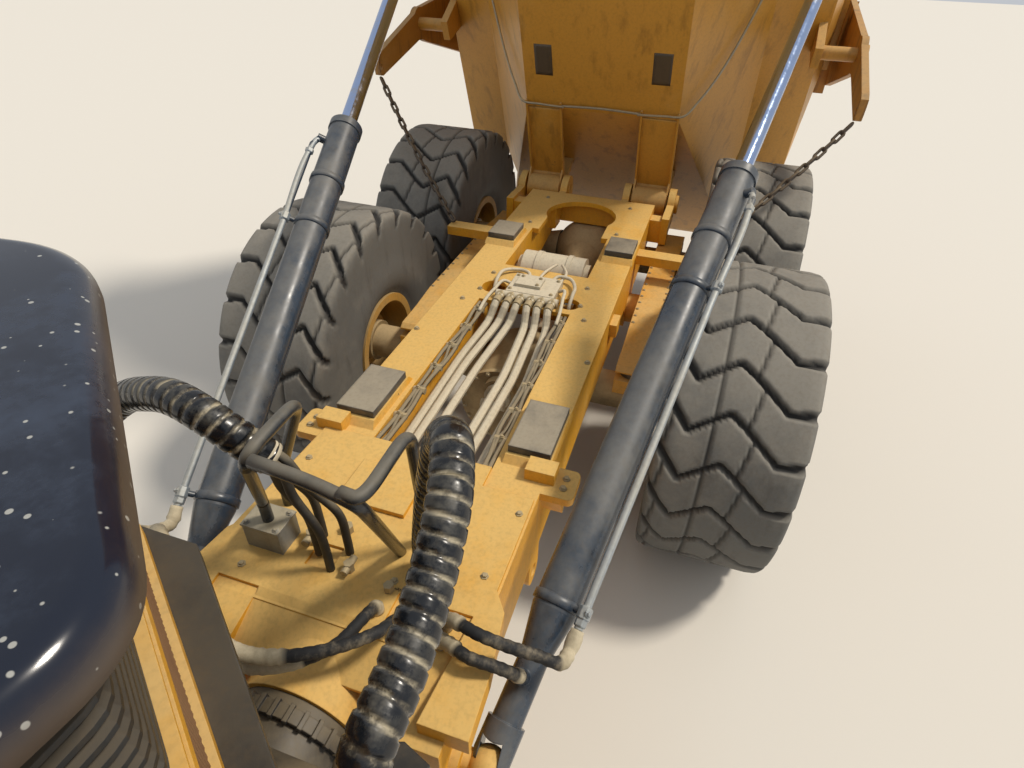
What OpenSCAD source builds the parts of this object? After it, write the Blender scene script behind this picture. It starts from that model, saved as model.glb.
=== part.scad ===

// A flat ring link about its middle, along Z; its eyes lap over those of its neighbours
module chain_link(pitch, r) {
    half = pitch / 2 + r * 0.2;
    rotate([90, 0, 0]) translate([0, 0, -r]) difference() {
        union() {
            for (s = [-1, 1]) translate([0, s * (half - 1.2 * r), 0]) cylinder(r = 2.4 * r, h = 2 * r, $fn = 16);
            translate([-2.4 * r, 1.2 * r - half, 0]) cube([4.8 * r, 2 * half - 2.4 * r, 2 * r]);
        }
        for (s = [-1, 1]) translate([0, s * (half - 1.2 * r), -1]) cylinder(r = 0.9 * r, h = 2 * r + 2, $fn = 16);
        translate([-0.9 * r, 1.2 * r - half, -1]) cube([1.8 * r, 2 * half - 2.4 * r, 2 * r + 2]);
    }
}// Articulated six-wheel dump truck with its bed raised.
// All sizes are millimetres: +X is forward, +Y is the truck's left, +Z is up.
// The sections below are measured from a point on the ground midway between the two rear axles.
// The finished truck is then moved back by mid_x, so its origin lies under the middle of its length.

/* [Overall] */
// Distance from the point between the rear axles to the middle of the truck's length
mid_x = 2876.6; // [2000:0.1:3500]
// Distance of each rear axle from the point between them
bogie_half = 983; // [960:1:1010]
// Place of the front axle, forward of the point between the rear axles
front_axle_x = 5573; // [5560:1:5600]
// Place of the steering pivot, forward of the point between the rear axles
steer_x = 4050; // [4040:1:4060]
// Height of the oscillation axis of the hitch
roll_z = 1150; // [1140:1:1160]

/* [Wheels] */
// Outer radius of a tyre, to the tips of its lugs
tyre_r = 925; // [915:1:930]
// Width of a tyre over its walls
tyre_w = 750; // [700:1:760]
// Number of lugs on each side of a tyre's tread
lug_count = 22; // [16:2:28]
// Depth of the grooves between the lugs
lug_depth = 44; // [30:1:55]
// Width of the grooves between the lugs
lug_gap = 36; // [24:1:60]
// Angle at which the lugs lie across the tread
lug_slant = 22; // [0:1:30]
// Distance from the middle of the truck to the middle of a tyre
track_half = 1335; // [1330:1:1350]
// Radius of the rim under the tyre's beads
rim_r = 318; // [300:1:330]
// Thickness of the rim's barrel
rim_t = 18; // [10:1:24]
// Height of the rim's flange over its barrel
flange_h = 38; // [20:1:50]
// Thickness of the rim's flange
flange_t = 24; // [14:1:30]
// Radius of the planetary hub
hub_r = 215; // [180:1:240]
// Thickness of the wheel disc
disc_t = 30; // [20:1:40]
// Number of studs round a wheel disc
stud_count = 20; // [12:1:24]

/* [Rear frame] */
// Height of the top of the frame rails
frame_top = 1420; // [1400:1:1430]
// Depth of a frame rail
rail_h = 350; // [300:1:360]
// Distance from the middle to the outer face of a rail
rail_out = 545; // [520:1:560]
// Distance from the middle to the inner face of a rail
rail_in = 300; // [280:1:330]
// Front end of the frame rails
frame_front = 3300; // [3200:1:3350]
// Rear end of the frame rails
frame_tail = -1020; // [-1040:1:-1000]
// Height of the rubber pads on the rails
pad_h = 75; // [50:1:75]
// Length of a front pad
pad_l = 350; // [250:1:400]
// Width of a pad
pad_w = 200; // [150:1:230]
// Height of the bevelled bases under the pads
pad_base_h = 35; // [20:1:45]
// Distance from the middle to the middle of a walking beam
beam_y = 740; // [730:1:745]

/* [Bed] */
// Angle to which the bed is raised
tip_angle = 67; // [60:1:70]
// Place of the bed's hinge, forward of the point between the rear axles
pivot_x = -1200; // [-1210:1:-1190]
// Height of the bed's hinge
pivot_z = 1380; // [1375:1:1385]
// Radius of the hinge pins
hinge_pin_r = 55; // [40:1:65]
// Thickness of the bed's plates
bed_t = 28; // [16:1:36]
// Half the width of the flat floor
floor_half = 620; // [600:1:640]
// Height of the floor's underside over the hinge
floor_h = 120; // [120:1:124]
// Half the width of the bed at its top rails
rail_half = 1740; // [1700:1:1745]
// Height of the top rails over the hinge
bed_top = 1850; // [1750:10:1950]
// Height of the front guard over the hinge
guard_top = 2350; // [2200:10:2450]
// Distance from the hinge forward to the bed's front wall
bed_front = 4180; // [4100:10:4260]
// Distance from the hinge back to the tail lip
tail_back = 1243; // [1150:1:1300]

/* [Tailgate] */
// Angle to which the raised bed's chains have opened the tailgate
gate_open = 50; // [40:1:55]
// Distance from the bed's hinge forward to the tailgate's pivot
gate_x = 970; // [950:1:990]
// Height of the tailgate's pivot over the bed's hinge
gate_h = 785; // [770:1:800]
// Distance from the middle to the inner face of a tailgate arm
arm_in = 1805; // [1800:1:1830]
// Thickness of a tailgate arm
arm_t = 50; // [30:1:60]
// Pitch of the tailgate chains' links
chain_pitch = 75; // [60:1:90]
// Radius of the bar of which the links are made
chain_r = 10; // [8:1:13]

/* [Hoist] */
// Place of the lower hoist pins: forward, outward and up
hoist_foot = [3450, 663, 1130];
// Place of the upper hoist pins in the bed: forward of the hinge, outward and up
hoist_top = [2000, 1483, 850];
// Outer radius of a hoist barrel
barrel_r = 86; // [80:1:100]
// Length of a hoist barrel, from its pin to the end of its gland
barrel_l = 2800; // [2700:1:2810]
// Outer radius of the steel feed pipe along a barrel
pipe_r = 14; // [10:1:18]
// Radius of a hoist rod
rod_r = 46; // [40:1:55]
// Radius of the hoist pins
hoist_pin_r = 40; // [30:1:45]

/* [Tractor] */
// Distance from the point between the rear axles to the front of the bumper
nose_x = 8750; // [8700:10:8800]
// Height of the cab roof
cab_top = 3745; // [3700:5:3780]
// Half the width of the cab
cab_half = 800; // [780:5:820]
// Rear face of the cab
cab_rear = 4650; // [4640:5:4700]
// Length of the cab
cab_l = 1550; // [1500:5:1600]
// Thickness of the cab's walls
cab_t = 45; // [30:1:60]
// Height of the cab floor
cab_floor = 2050; // [2040:5:2100]
// Radius of the cab's upright corners
cab_round = 90; // [60:5:120]
// Height at which the windscreen starts to lean back
screen_z = 2700; // [2650:10:2750]
// How far the windscreen leans back over its height
screen_run = 170; // [100:10:200]
// Rear side plate of the ladder, forward of the point between the rear axles
ladder_x = 6960; // [6940:1:6980]
// Width of the ladder
ladder_w = 400; // [350:1:420]
// Number of air slots in each side of the hood
hood_slots = 8; // [4:1:9]
// Pitch of the bars of the grille
grille_pitch = 80; // [60:5:100]

/* [Hidden] */
$fn = 64;
gap = 6;
seat = 0.3;
steel_yellow = "#d9a93a";
steel_black = "#2b2d2f";
rubber_grey = "#4a4a48";

// Where the tyre's beads, the wheel disc and the hub's ends lie, across from the middle of the tyre
bead_half = tyre_w / 2 - 60;
disc_y = 60;
hub_back = 200;
hub_front = 220;

// Wheels stand on the ground, so an axle is as high as a tyre's radius
axle_z = tyre_r;
axle_xs = [-bogie_half, bogie_half, front_axle_x];
// An axle's beam stops short of the hubs, and its shafts reach them
axle_half = track_half - hub_back - gap;
axle_r = 118;
diff_r = 285;
nose_l = 480;
tail_l = 320;

// Points of the bed's cross-section, outward and up from the hinge
waist = [1150, 850];
shelf = [1580, 1000];
// Where the floor turns up to the tail, forward of the hinge
kick_x = 750;
tail_h = 930;
side_rear = 300;

// The deck that carries the cooling housing, and the hitch between its ears
deck_z = 2010;
housing_h = 890;
hitch_half = 330;
roll_r = 140;
ring_teeth = 30;
hood_hinge = [8270, 1420];
hood_low = 1440;
// Steering cylinders run from pins under the tractor's frame to the hitch
steer_foot = [5150, 740, 1030];
steer_eye = [3750, 420, 1030];
steer_barrel_l = 900;
// Ball joint at each hoist barrel's foot
ball_r = 70;
ball_gap = 1;
// Towing eyes fore and aft, and the lashing eyes under the rear frame
tow_r = 40;
// Middle and length of the front and rear pads
pad_places = [[2127, pad_l], [30, pad_l * 0.7]];
// Bay between the rails: its cover's rear edge, its own rear end, and the height of the input over the axle
bay_front = 2400;
bay_rear = 980;
cover_t = 14;
input_up = 135;
// Rubber bushes between the walking beams and the saddles on the axles
saddle_z = axle_z + axle_r + 40;
bush_h = 46;
// Cross tank at the frame's tail: forward and up, and its radius
tank = [200, 1270];
tank_r = 142;
// Six hose ports across the manifold, and where each hose then runs across the bay
hose_row = [-170, -100, -35, 35, 100, 170];
hose_lanes = [-250, -195, -115, 60, 120, 205];
// Ribs down the tailgate, as shares of its height
gate_ribs = [0.3, 0.62];
tow_rear_x = frame_tail - 340;
tie_r = 35;
rail_r = 19;
louvres = 9;
collar = [3940, 598];
// The hoist's own frame at its left foot, along its length, and the same point on the right
hoist_span = let (top = raised(hoist_top.x, hoist_top.z)) [top[0], hoist_top.y, top[1]] - hoist_foot;
function hoist_point(p) = let (d = unit(hoist_span), turn = atan2(d.y, d.x), side_x = sqrt(1 - d.z * d.z))
    hoist_foot + p.x * [cos(turn) * d.z, sin(turn) * d.z, -side_x] + p.y * [-sin(turn), cos(turn), 0] + p.z * d;
function mirrored(p) = [p.x, -p.y, p.z];
// A barrel's neck, the port on it, and the feed pipe's place round the barrel and its lower end
neck_r = 56;
port_z = 300;
feed_pipe = [-75, -barrel_r - 32, 0];
feed_z = 520;
// Ends of the hoses at the feed pipe and at the neck's port, each with a point just before it
feed_end = [hoist_point(feed_pipe + [0, 0, feed_z - 75]), hoist_point(feed_pipe + [0, 0, feed_z - seat])];
port_end = [hoist_point([-neck_r - 90, 0, port_z]), hoist_point([-neck_r - 48 - seat, 0, port_z])];
// Routes of the hoses to the hoist: the left pair, then the right pair, which crosses before the frame
hoist_routes = [
    [[3184, 412, frame_top + seat], [3184, 412, 1450], [3200, 440, 1510], [3247, 565, 1560], [3238, 666, 1530],
        [3215, 750, 1490], [3180, 830, 1430], feed_end[0], feed_end[1]],
    [[3248, 419, frame_top + seat], [3248, 419, 1445], [3262, 450, 1475], [3305, 552, 1510], [3290, 630, 1480],
        port_end[0], port_end[1]],
    [[3235, 262, frame_top + seat], [3235, 262, 1460], [3255, 262, 1500], [3333, 250, 1550], [3468, 100, 1560],
        [3550, -126, 1570], [3505, -339, 1660], [3438, -438, 1710], [3362, -528, 1740], [3300, -640, 1650],
        mirrored(port_end[0]), mirrored(port_end[1])],
    [[3210, 160, frame_top + cover_t + seat], [3210, 160, 1460], [3235, 160, 1482], [3400, 110, 1490],
        [3559, -134, 1500], [3538, -368, 1600], [3428, -528, 1680], [3330, -690, 1640], [3235, -820, 1500],
        [3180, -850, 1430], mirrored(feed_end[0]), mirrored(feed_end[1])]
];
main_routes = [
    [[collar.x, collar.y, deck_z - 90], [collar.x, collar.y, 2150], [3860, 600, 2240], [3760, 605, 2250],
        [3575, 595, 2330], [3400, 565, 2430], [3270, 510, 2430], [3160, 420, 2280], [3085, 330, 1900],
        [3040, 285, 1640], [3030, 285, 1500], [3030, 285, frame_top + cover_t + seat]],
    [[3720, -690, deck_z - 100], [3560, -840, 1900], [3300, -930, 1930], [3110, -800, 2060], [3135, -640, 2150],
        [3165, -470, 2200], [3185, -340, 2185], [3178, -245, 2120], [3150, -190, 2040], [3115, -165, 1930],
        [3085, -150, 1780], [3065, -145, 1600], [3065, -145, frame_top + seat]]
];
guard_z = 2150;
guard_block = [[3000, -450, frame_top], [3110, -300, frame_top + 130]];
// The guard's two bent tubes over the frame's bay, from foot to foot
guard_loops = [
    [[3060, -370, frame_top - 10], [3060, -370, 1640], [3278, -150, guard_z], [2990, -155, guard_z],
        [2880, -430, 1600], [2880, -430, frame_top - 10]],
    [[2940, 120, frame_top - 10], [3300, 235, guard_z - 30], [3290, 60, guard_z], [3278, -120, guard_z]],
    [[3296, 180, guard_z - 6], [3300, 250, guard_z - 10], [3004, 250, guard_z], [2860, 200, frame_top - 10]]
];
tie_x = 2500;
tie_z = frame_top - rail_h - 150;
// The door's upright hinge, and the heights of its two knuckles
door_axis = [cab_rear + 70, cab_half + 22];
door_hinge_zs = [2300, 3300];

function raised(a, h) = [
    pivot_x + a * cos(tip_angle) - h * sin(tip_angle),
    pivot_z + a * sin(tip_angle) + h * cos(tip_angle)
];

module placed() { translate([-mid_x, 0, 0]) children(); }
module bed_raised() { translate([pivot_x, 0, pivot_z]) rotate([0, -tip_angle, 0]) children(); }
module gate_raised() { bed_raised() translate([gate_x, 0, gate_h]) rotate([0, gate_open, 0]) children(); }
module both_sides() { for (side = [-1, 1]) scale_y(side) children(); }
module scale_y(side) { if (side < 0) mirror([0, 1, 0]) children(); else children(); }

// A profile in the X-Z plane, carried along Y from one distance to another
module side_plate(y_from, y_to) {
    translate([0, y_to, 0]) rotate([90, 0, 0]) linear_extrude(y_to - y_from) children();
}
// A profile in the Y-Z plane, carried along X from one distance to another
module cross_plate(x_from, x_to) {
    translate([x_from, 0, 0]) rotate([90, 0, 90]) linear_extrude(x_to - x_from) children();
}
module rod_y(x, z, y_from, y_to, r) {
    translate([x, y_from, z]) rotate([-90, 0, 0]) cylinder(r = r, h = y_to - y_from);
}
module box(low, high) { translate(low) cube(high - low); }

// A straight round bar between two points
module bar(from, to, r) {
    d = to - from;
    len = norm(d);
    translate(from) rotate([0, acos(d.z / len), atan2(d.y, d.x)]) cylinder(r = r, h = len);
}

// A tube of any route: rings of points stand square to it, turned as little as they can be
function unit(v) = v / norm(v);
function tangent(p, i) = unit(p[min(i + 1, len(p) - 1)] - p[max(i - 1, 0)]);
function square_to(t, v) = unit(v - (v * t) * t);
function ring_dirs(p, i = 0, v = [0.31, 0.27, 0.91]) = i == len(p) ? [] :
    let (w = square_to(tangent(p, i), v)) concat([w], ring_dirs(p, i + 1, w));
module swept(p, r, sides) {
    dirs = ring_dirs(p);
    points = [for (i = [0 : len(p) - 1]) let (t = tangent(p, i), u = dirs[i], w = cross(t, u))
        for (k = [0 : sides - 1]) p[i] + r * (cos(360 * k / sides) * u + sin(360 * k / sides) * w)];
    walls = [for (i = [0 : len(p) - 2]) for (k = [0 : sides - 1]) let (k2 = (k + 1) % sides)
        [i * sides + k, (i + 1) * sides + k, (i + 1) * sides + k2, i * sides + k2]];
    last = (len(p) - 1) * sides;
    polyhedron(points, concat(walls, [[for (k = [0 : sides - 1]) k]],
        [[for (k = [0 : sides - 1]) last + sides - 1 - k]]), convexity = 6);
}
// A route whose inner corners become arcs of n + 1 points
function rounded(p, reach, n) = [
    p[0],
    for (i = [1 : len(p) - 2])
        let (a = min(reach, norm(p[i - 1] - p[i]) * 0.49), b = min(reach, norm(p[i + 1] - p[i]) * 0.49),
            start = p[i] + unit(p[i - 1] - p[i]) * a, end = p[i] + unit(p[i + 1] - p[i]) * b)
            for (u = [0 : 1 / n : 1]) (1 - u) * (1 - u) * start + 2 * u * (1 - u) * p[i] + u * u * end,
    p[len(p) - 1]
];

module tyre_profile() {
    half = tyre_w / 2;
    bead = rim_r + seat;
    lip = bead_half - seat;
    wall = 40;
    difference() {
        polygon([
            [bead, -lip], [bead + flange_h + seat, -lip], [bead + 80, -half + 28], [bead + 150, -half],
            [bead + 300, -half + 8], [tyre_r - 120, -half + 6], [tyre_r - 32, -half + 16], [tyre_r - 8, -half + 38],
            [tyre_r, -half + 90], [tyre_r, half - 90], [tyre_r - 8, half - 38], [tyre_r - 32, half - 16],
            [tyre_r - 120, half - 6], [bead + 300, half - 8], [bead + 150, half], [bead + 80, half - 28],
            [bead + flange_h + seat, lip], [bead, lip]
        ]);
        polygon([
            [bead - 1, -lip + wall], [bead + 80, -lip + wall], [bead + 150, -half + wall],
            [tyre_r - 190, -half + wall], [tyre_r - 100, -half + 150], [tyre_r - 100, half - 150],
            [tyre_r - 190, half - wall], [bead + 150, half - wall], [bead + 80, lip - wall], [bead - 1, lip - wall]
        ]);
    }
}
// Grooves run from the middle of the tread out over each shoulder, and leave the lugs standing
module tread_grooves() {
    pitch = 360 / lug_count;
    for (k = [0 : lug_count - 1]) for (s = [-1, 1]) rotate([0, 0, (k + (s > 0 ? 0.5 : 0)) * pitch])
        translate([tyre_r - lug_depth, 0, 0]) rotate([s > 0 ? -lug_slant : 180 + lug_slant, 0, 0])
            translate([0, -lug_gap / 2, 12]) cube([200, lug_gap, tyre_w]);
}
module tyre(x, side) {
    color(rubber_grey) placed() translate([x, side * track_half, axle_z]) rotate([-90, 0, 0]) difference() {
        rotate_extrude($fn = 64) tyre_profile();
        tread_grooves();
    }
}

module rim_profile() {
    translate([rim_r - rim_t, -bead_half]) square([rim_t, 2 * bead_half]);
    for (s = [-1, 1]) translate([rim_r - rim_t, s * (bead_half + flange_t / 2) - flange_t / 2])
        square([rim_t + flange_h, flange_t]);
    polygon([
        [hub_r - 10, disc_y], [rim_r - 40, disc_y + 40], [rim_r - 4, disc_y + 40], [rim_r - 4, disc_y + 40 + disc_t],
        [rim_r - 50, disc_y + 40 + disc_t], [hub_r - 10, disc_y + disc_t]
    ]);
    polygon([
        [0, -hub_back], [hub_r - 25, -hub_back], [hub_r - 25, -60], [hub_r, -60], [hub_r, disc_y + 55],
        [hub_r - 20, disc_y + 75], [hub_r - 50, hub_front - 70], [hub_r - 60, hub_front - 20], [90, hub_front - 12],
        [80, hub_front], [0, hub_front]
    ]);
}
module rim(x, side) {
    color("#8a7a5c") placed() translate([x, side * track_half, axle_z]) rotate([-90 * side, 0, 0]) {
        rotate_extrude($fn = 64) rim_profile();
        for (k = [0 : stud_count - 1]) rotate([0, 0, k * 360 / stud_count])
            translate([hub_r + 28, 0, disc_y + disc_t]) cylinder(r = 15, h = 34, $fn = 16);
    }
}
// Rails, with the nose that slopes to the hitch and the flare that carries each hoist foot
module frame_rails() {
    both_sides() {
        side_plate(rail_in, rail_out) polygon([
            [frame_tail, frame_top - 250], [frame_tail, frame_top], [frame_front, frame_top],
            [frame_front + 260, frame_top - 60], [frame_front + 260, frame_top - 420],
            [frame_front, frame_top - rail_h - 60], [1500, frame_top - rail_h], [-300, frame_top - rail_h]
        ]);
        translate([0, 0, frame_top - 70]) linear_extrude(70 + cover_t) polygon([
            [frame_front - 350, rail_out - 40], [frame_front - 230, rail_out + 45], [frame_front, rail_out + 75],
            [frame_front + 215, rail_out + 83], [frame_front + 215, rail_out - 90]
        ]);
        rod_y(hoist_foot.x, hoist_foot.z, rail_out - 10, hoist_foot.y - ball_r - 15, 80);
        rod_y(hoist_foot.x, hoist_foot.z, rail_out, hoist_foot.y + ball_r - 20, hoist_pin_r);
        translate(hoist_foot) sphere(r = ball_r);
    }
}
// Guides for the lowered bed on each rail, behind the front pads
module bed_guides() {
    both_sides() {
        translate([0, 0, frame_top - 40]) linear_extrude(40) difference() {
            union() {
                translate([2290, rail_out - 5]) square([180, 120]);
                for (x = [2320, 2440]) translate([x, rail_out + 115]) circle(r = 30);
                translate([2320, rail_out + 100]) square([120, 45]);
            }
            for (x = [2350, 2410]) translate([x, rail_out + 90]) circle(r = 16);
        }
        box([2320, rail_out - 90, frame_top - 5], [2410, rail_out + 45, frame_top + 62]);
        side_plate(rail_out - 4, rail_out + 90) polygon([
            [2300, frame_top - 38], [2460, frame_top - 38], [2380, frame_top - 190]
        ]);
        side_plate(rail_out - 4, rail_out + 45) polygon([
            [760, frame_top - 70], [900, frame_top - 70], [880, frame_top - 170], [780, frame_top - 170]
        ]);
    }
}
// Low welded bases with bevelled flanks under the four rubber pads
module pad_bases() {
    for (p = pad_places) both_sides() difference() {
        hull() {
            translate([p[0], 442, frame_top - 1]) linear_extrude(1) square([p[1] + 90, pad_w + 30], center = true);
            translate([p[0], 442, frame_top + pad_base_h - 1]) linear_extrude(1)
                square([p[1] + 30, pad_w + 16], center = true);
        }
        box([p[0] - p[1], 0, frame_top - 30], [p[0] + p[1], 1000, frame_top - 1]);
    }
}
module frame_covers() {
    // Tail plate with its arched opening
    difference() {
        box([frame_tail, -rail_in, frame_top - 40], [-200, rail_in, frame_top]);
        translate([-590, 0, frame_top - 300]) cylinder(r = 285, h = 600);
        box([-590, -250, frame_top - 300], [0, 250, frame_top + 100]);
    }
    box([frame_tail, -rail_in, frame_top - 220], [frame_tail + 80, rail_in, frame_top - 20]);
    // Middle cross member under the manifold
    box([470, -rail_in, frame_top - 330], [560, rail_in, frame_top - 10]);
    box([470, -rail_in, frame_top - 30], [bay_rear, rail_in, frame_top]);
    // Front cover: a folded plate over the bay's front end, a raised hatch and a step down to the hitch
    box([bay_front, -rail_in, frame_top - 40], [frame_front, rail_in, frame_top]);
    translate([0, 0, frame_top - 1]) linear_extrude(cover_t + 1) difference() {
        polygon([
            [bay_front, -rail_out], [frame_front - 260, -rail_out - 30], [frame_front - 40, -rail_out - 40],
            [frame_front - 40, 200], [frame_front - 180, 200], [frame_front - 180, rail_out - 10],
            [bay_front + 120, rail_out - 10], [bay_front + 120, rail_in], [bay_front, rail_in]
        ]);
        translate([frame_front - 290, -200]) square([110, 110]);
    }
    box([2560, -250, frame_top + cover_t - 1], [2800, 60, frame_top + cover_t + 22]);
    side_plate(-rail_in, rail_in) polygon([
        [frame_front - 40, frame_top + cover_t], [frame_front + 150, frame_top - 75],
        [frame_front + 150, frame_top - 90], [frame_front - 40, frame_top - 20]
    ]);
    box(guard_block[0], guard_block[1]);
}
module bed_hinges() {
    for (lug = [[rail_in - 50, rail_in + 10], [640, 700]]) difference() {
        side_plate(lug[0], lug[1]) union() {
            translate([pivot_x, pivot_z]) circle(r = 130);
            translate([pivot_x, pivot_z - 130]) square([360, 165]);
            translate([-900, frame_top - 220]) square([160, 220]);
        }
    }
    side_plate(rail_out, 640) polygon([
        [-880, frame_top - 220], [-880, frame_top - 30], [-760, frame_top - 30], [-760, frame_top - 220]
    ]);
    rod_y(pivot_x, pivot_z, 245, 710, hinge_pin_r);
    rod_y(pivot_x, pivot_z, 700, 725, hinge_pin_r + 25);
}

module rear_frame() {
    color(steel_yellow) placed() {
        difference() {
            union() {
                frame_rails();
                bed_guides();
                frame_covers();
            }
            // Round cut-outs beside the manifold
            translate([800, -262, frame_top - 90]) cylinder(r = 82, h = 200);
            translate([858, 266, frame_top - 90]) cylinder(r = 68, h = 200);
            both_sides() translate([400, 170, frame_top - 170]) rotate([0, 90, 0]) cylinder(r = 70, h = 400);
        }
        pad_bases();
        both_sides() {
            bed_hinges();
            rod_y(0, 980, 480, 639.7, 110);
            rod_y(0, 980, 480, 850, 75);
            rod_y(0, 980, 850, 866, 96);
            side_plate(rail_in + 60, rail_out) polygon([
                [-200, frame_top - rail_h + 5], [200, frame_top - rail_h + 5], [120, 880], [-120, 880]
            ]);
            box([-160, rail_out - 5, 1330], [-40, 960, 1400]);
        }
        difference() {
            box([tow_rear_x - 70, -100, frame_top - 220], [frame_tail + 10, 100, frame_top - 180]);
            translate([tow_rear_x, 0, 0]) cylinder(r = tow_r, h = 3000);
        }
        for (side = [-1, 1]) difference() {
            side_plate(side * (rail_out - 15) - 15, side * (rail_out - 15) + 15) union() {
                translate([tie_x, tie_z]) circle(r = 75);
                translate([tie_x - 75, tie_z]) square([150, 130]);
            }
            rod_y(tie_x, tie_z, -800, 800, tie_r);
        }
        // Cross wall and housing in which the hitch's shaft turns
        difference() {
            union() {
                box([frame_front - 80, -rail_in, frame_top - 420], [frame_front, rail_in, frame_top - 40]);
                translate([frame_front, 0, roll_z]) rotate([0, 90, 0]) cylinder(r = 240, h = 240);
                box([frame_front - 10, -rail_in, roll_z - 160], [frame_front + 120, rail_in, roll_z + 160]);
            }
            translate([frame_front - 100, 0, roll_z]) rotate([0, 90, 0]) cylinder(r = roll_r + seat, h = 400);
        }
    }
}

module body_pads() {
    color("#3b3b3a") placed() both_sides() {
        for (p = pad_places)
            box([p[0] - p[1] / 2, 442 - pad_w / 2, frame_top + pad_base_h + seat],
                [p[0] + p[1] / 2, 442 + pad_w / 2, frame_top + pad_h]);
        // Rubber bushes between each walking beam's ends and the axles' saddles
        for (s = [-1, 1]) translate([s * bogie_half, beam_y, saddle_z + seat]) cylinder(r = 82, h = bush_h - 2 * seat);
    }
}

module walking_beams() {
    color("#e0ad2e") placed() both_sides() {
        difference() {
            union() {
                side_plate(beam_y - 100, beam_y + 100) union() {
                    polygon([
                        [-820, 1175], [-600, 1200], [600, 1200], [820, 1175], [820, 1010], [430, 860], [300, 830],
                        [-300, 830], [-430, 860], [-820, 1010]
                    ]);
                    for (s = [-1, 1]) translate([s * 820, 0]) mirror([s < 0 ? 1 : 0, 0]) polygon([
                        [0, 1175], [230, 1165], [262, 1140], [262, saddle_z + bush_h], [60, saddle_z + bush_h],
                        [0, 1010]
                    ]);
                }
            }
            rod_y(0, 980, 500, 900, 75.3);
        }
        for (s = [-1, 1]) translate([s * bogie_half, beam_y, 0]) difference() {
            box([-115, -100, axle_z + 60], [115, 100, saddle_z]);
            rotate([-90, 0, 0]) translate([0, -axle_z, -150]) cylinder(r = axle_r + seat, h = 300);
        }
    }
}

// An axle with its differential; the bell and its ring stand before it where the input is geared down
module axle(x, bell) {
    translate([x, 0, axle_z]) {
        rotate([-90, 0, 0]) translate([0, 0, -axle_half]) cylinder(r = axle_r, h = 2 * axle_half);
        for (side = [-1, 1]) rotate([-90 * side, 0, 0]) {
            cylinder(r = 60, h = axle_half + gap - seat);
            translate([0, 0, diff_r - 30]) cylinder(r1 = axle_r + 35, r2 = axle_r, h = 150);
            translate([0, 0, axle_half - 60]) cylinder(r = axle_r + 26, h = 60);
        }
        difference() {
            sphere(r = diff_r);
            for (z = [-1, 1]) translate([-500, -500, z > 0 ? 260 : -760]) cube([1000, 1000, 500]);
        }
        rotate([0, 90, 0]) {
            if (bell) {
                cylinder(r = 235, h = nose_l - 60);
                translate([0, 0, nose_l - 90]) cylinder(r = 268, h = 34);
                translate([-input_up, 0, 0]) cylinder(r = 105, h = nose_l);
            } else {
                translate([0, 0, 200]) cylinder(r1 = 190, r2 = 115, h = nose_l - 300);
                cylinder(r = 120, h = nose_l);
            }
        }
        rotate([0, -90, 0]) cylinder(r = 90, h = tail_l);
    }
}
module bogie_axles() {
    color("#7d715c") placed() {
        axle(axle_xs[0], false);
        axle(axle_xs[1], true);
    }
}
// A flange on the axle's or the hitch's face, with the joint's cross and forks before it
module fork_joint(at, way) {
    translate(at) rotate([0, 90 * way, 0]) {
        cylinder(r = 82, h = 30);
        cylinder(r = 44, h = 130);
        translate([0, 0, 96]) rotate([90, 0, 0]) translate([0, 0, -74]) cylinder(r = 26, h = 148);
        translate([0, 0, 96]) rotate([0, 90, 0]) translate([0, 0, -74]) cylinder(r = 26, h = 148);
    }
}
module propshafts() {
    hitch_end = [frame_front - 80 - seat, 0, roll_z];
    input = [bogie_half + nose_l + seat, 0, axle_z + input_up];
    middle = [bogie_half - tail_l - seat, 0, axle_z];
    rear = [-bogie_half + nose_l + seat, 0, axle_z];
    color("#c9c0ac") placed() {
        bar(input + [96, 0, 0], hitch_end - [96, 0, 0], 52);
        bar(rear + [96, 0, 0], middle - [96, 0, 0], 52);
        for (at = [input, rear]) fork_joint(at, 1);
        for (at = [hitch_end, middle]) fork_joint(at, -1);
    }
}
module air_tank() {
    color("#b9ac90") placed() {
        rod_y(tank.x, tank.y, -235, 225, tank_r);
        for (y = [-120, 110]) rod_y(tank.x, tank.y, y - 17, y + 17, tank_r + 7);
        for (s = [-1, 1]) rod_y(tank.x, tank.y, s > 0 ? 220 : -270, s > 0 ? 260 : -230, tank_r * 0.7);
        rod_y(tank.x, tank.y, -rail_in + seat, rail_in - seat, 32);
    }
}
module valve_block() {
    color("#b5aa92") placed() {
        box([650, -150, frame_top + seat], [900, 170, frame_top + 48]);
        box([700, -110, frame_top + 40], [830, 60, frame_top + 68]);
        rod_y(bay_rear - 60, frame_top + 26, -205, 205, 25.7);
        for (y = hose_row) translate([bay_rear - 60, y, frame_top + 26]) rotate([0, 90, 0]) cylinder(r = 25.7, h = 52);
        bay_hoses();
    }
}
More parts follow.
